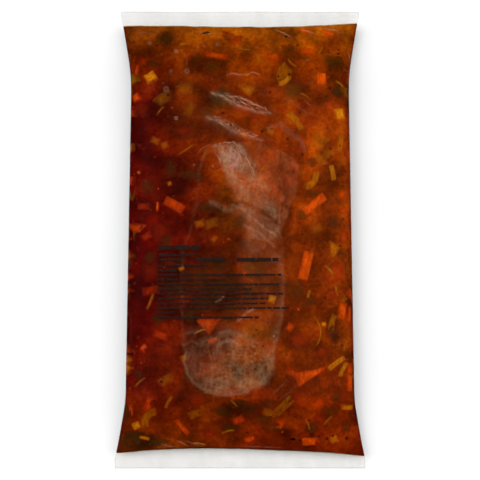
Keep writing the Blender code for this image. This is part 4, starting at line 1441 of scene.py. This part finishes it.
for px, py, radius, strength in [
    (176, 51, 2.4, 0.34), (187, 71, 2.8, 0.26), (166, 89, 3.2, 0.26), (171, 71, 2.2, 0.20), (217.5, 44.5, 2.2, 0.26),
    (150, 43, 2.2, 0.26), (176, 118, 2.2, 0.45), (274, 336, 1.3, 0.45), (198, 47, 1.0, 0.3), (204, 46, 0.9, 0.3),
    (192, 50, 0.9, 0.3), (345, 70, 1.4, 0.2), (163, 83, 1.0, 0.3), (150, 88, 1.0, 0.25), (307, 60, 1.2, 0.25),
    (194, 165, 1.6, 0.25), (138, 172, 1.2, 0.25), (329, 30, 1.0, 0.3), (158, 29, 0.9, 0.4), (140, 30, 0.9, 0.3),
]:
    parts.append(bubble(px, py, radius, strength))
tris_frost_and_sheen = []
for p, quads, values, *tints in parts:
    frost_and_sheen_verts.append(p)
    frost_and_sheen_values.append(values)
    frost_and_sheen_warm.append(tints[0] if tints else np.zeros(len(p)))
    glint_values.append(tints[1] if tints else np.full(len(p), 0.3))
    flat_ones = quads[:, 2] == quads[:, 3]
    tris_frost_and_sheen.append(quads[flat_ones][:, :3] + total)
    frost_and_sheen_quads.append(quads[~flat_ones] + total)
    total += len(p)
frost_and_sheen = make_object(
    "frost_and_sheen_under_film", np.concatenate(frost_and_sheen_verts),
    [np.concatenate(tris_frost_and_sheen), np.concatenate(frost_and_sheen_quads)],
    {"frost_and_sheen": np.concatenate(frost_and_sheen_values), "warm": np.concatenate(frost_and_sheen_warm), "painted_glint": np.concatenate(glint_values)},
)
frost_and_sheen.data.materials.append(frost_and_sheen_material())

# ---- plain dark dashes where the bag is printed -------------------------------------------------
BARS = [  # first x, last x, top y, foot y, in pixels
    (158, 199, 245.2, 249.4), (159, 195, 253.8, 256.2), (159, 182, 258.6, 260.9), (196.5, 224, 257.8, 261.4),
    (236.5, 278, 257.8, 261.4),
]
ROWS = [
    (265.6, 158, 207.5), (270.5, 158, 176.5), (274.7, 158, 281.5), (279.6, 158, 224), (284.2, 158, 279),
    (289, 158, 251.5), (293.6, 158, 283), (298.5, 158, 268), (303.4, 157, 265), (308, 156, 292),
    (312.3, 158, 174), (317.4, 156.5, 259),
]


def dashes():
    """Thin closed strips that follow the film: bars, then rows of dashes of uneven length."""
    r = np.random.default_rng(58)
    marks = []
    for x0, x1, y0, y1 in BARS:
        x = x0
        while x < x1 - 1:
            w = min(r.uniform(5, 14) if y1 - y0 < 3 else r.uniform(13, 22), x1 - x)
            if x1 - (x + w) < 4:
                w = x1 - x
            marks.append((x, x + w, y0, y1))
            x += w + r.uniform(0.9, 1.5)
    for y, x0, x1 in ROWS:
        x = x0
        while x < x1 - 1.5:
            w = min(r.choice([3.5, 5, 7, 9, 12, 15]) * r.uniform(0.85, 1.15), x1 - x)
            marks.append((x, x + w, y - 0.95, y + 0.95))
            x += w + r.uniform(1.1, 1.8)
    verts, quads, count = [], [], 0
    for x0, x1, y0, y1 in marks:
        n = max(int((x1 - x0) / 2.0), 1) + 1
        xs = np.linspace(x0, x1, n)
        rows = []
        for y, h in ((y0, 0.00002), (y0, 0.00006), (y1, 0.00006), (y1, 0.00002)):
            p = seen_at(xs, np.full(n, y))
            rows.append(p + facing(p) * h)
        grid = np.stack(rows, axis=1)  # n stations, 4 corners
        for i in range(n - 1):
            for k in range(4):
                a, b = count + i * 4 + k, count + i * 4 + (k + 1) % 4
                quads.append([a, b, b + 4, a + 4])
        quads.append([count + 3, count + 2, count + 1, count])
        last = count + (n - 1) * 4
        quads.append([last, last + 1, last + 2, last + 3])
        verts.append(grid.reshape(-1, 3))
        count += n * 4
    verts = np.concatenate(verts)
    return verts, turned_out(verts, [np.array(quads)])


verts, faces = dashes()
ink = make_object("printed_dashes", verts, faces, sharp=30)
ink.data.materials.append(print_material())

# ---- ride, stage, light and camera --------------------------------------------------------------
for piece in [*food, heart, broth, film, frost_and_sheen, ink]:
    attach(piece, "root")
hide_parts(NODE)
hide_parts(NODE)
for piece in (film, broth, frost_and_sheen, *food):
    piece.visible_shadow = False

size = 30.0
floor = make_object(
    "floor",
    np.array([(-size, -size, -0.0004), (size, -size, -0.0004), (size, size, -0.0004), (-size, size, -0.0004)]),
    [np.array([[0, 1, 2, 3]])],
)
paper = Nodes("pale_floor", roughness=0.9)
paper.put("Base Color", paper.ramp(paper.noise(9.0, 2.0), [(0.3, (0.86, 0.86, 0.86)), (0.7, (0.88, 0.88, 0.88))]))
paper.shader.inputs["Specular IOR Level"].default_value = 0.0
floor.data.materials.append(paper.material)


def soft_light(name, place, size, power, aim=(0, 0, 0.01)):
    data = bpy.data.lights.new(name, "AREA")
    data.shape = "RECTANGLE"
    data.size, data.size_y = size
    data.energy = power
    lamp = bpy.data.objects.new(name, data)
    lamp.location = place
    lamp.rotation_euler = (Vector(aim) - Vector(place)).to_track_quat("-Z", "Y").to_euler()
    bpy.context.scene.collection.objects.link(lamp)
    return lamp


sun = bpy.data.lights.new("key_light", "SUN")
sun.energy, sun.angle = 1.56, math.radians(60)
lamp = bpy.data.objects.new("key_light", sun)
lamp.location = (-0.4, 0.5, 2.6)
lamp.rotation_euler = (-Vector(lamp.location)).to_track_quat("-Z", "Y").to_euler()
bpy.context.scene.collection.objects.link(lamp)
soft_light("left_light", (-1.25, 0.05, 1.10), (1.1, 2.0), 13)
soft_light("right_light", (1.25, 0.05, 1.10), (1.1, 2.0), 13)
soft_light("front_light", (0.0, -1.9, 0.78), (2.0, 0.7), 4)

world = bpy.data.worlds.new("studio")
bpy.context.scene.world = world
world.use_nodes = True
tree = world.node_tree
back = tree.nodes["Background"]
coords = tree.nodes.new("ShaderNodeTexCoord")
split = tree.nodes.new("ShaderNodeSeparateXYZ")
ramp = tree.nodes.new("ShaderNodeValToRGB")
tree.links.new(coords.outputs["Generated"], split.inputs[0])
tree.links.new(split.outputs["Z"], ramp.inputs["Fac"])
tree.links.new(ramp.outputs["Color"], back.inputs["Color"])
elements = ramp.color_ramp.elements
elements[0].position, elements[0].color = 0.0, (1, 1, 1, 1)
elements[1].position, elements[1].color = 1.0, (0.76, 0.76, 0.76, 1)
middle = elements.new(0.35)
middle.color = (0.96, 0.96, 0.96, 1)
back.inputs["Strength"].default_value = 0.28

scene = bpy.context.scene
data = bpy.data.cameras.new("camera")
data.sensor_width = 36.0
data.lens = FOCAL / 480 * 36.0
data.clip_start, data.clip_end = 0.01, 50.0
camera = bpy.data.objects.new("camera", data)
camera.location = EYE
camera.rotation_euler = Vector(AHEAD).to_track_quat("-Z", "Y").to_euler()
scene.collection.objects.link(camera)
scene.camera = camera
scene.view_settings.view_transform = "Standard"
scene.view_settings.look = "None"
scene.cycles.caustics_refractive = False
scene.cycles.caustics_reflective = False
scene.cycles.transparent_max_bounces = 16
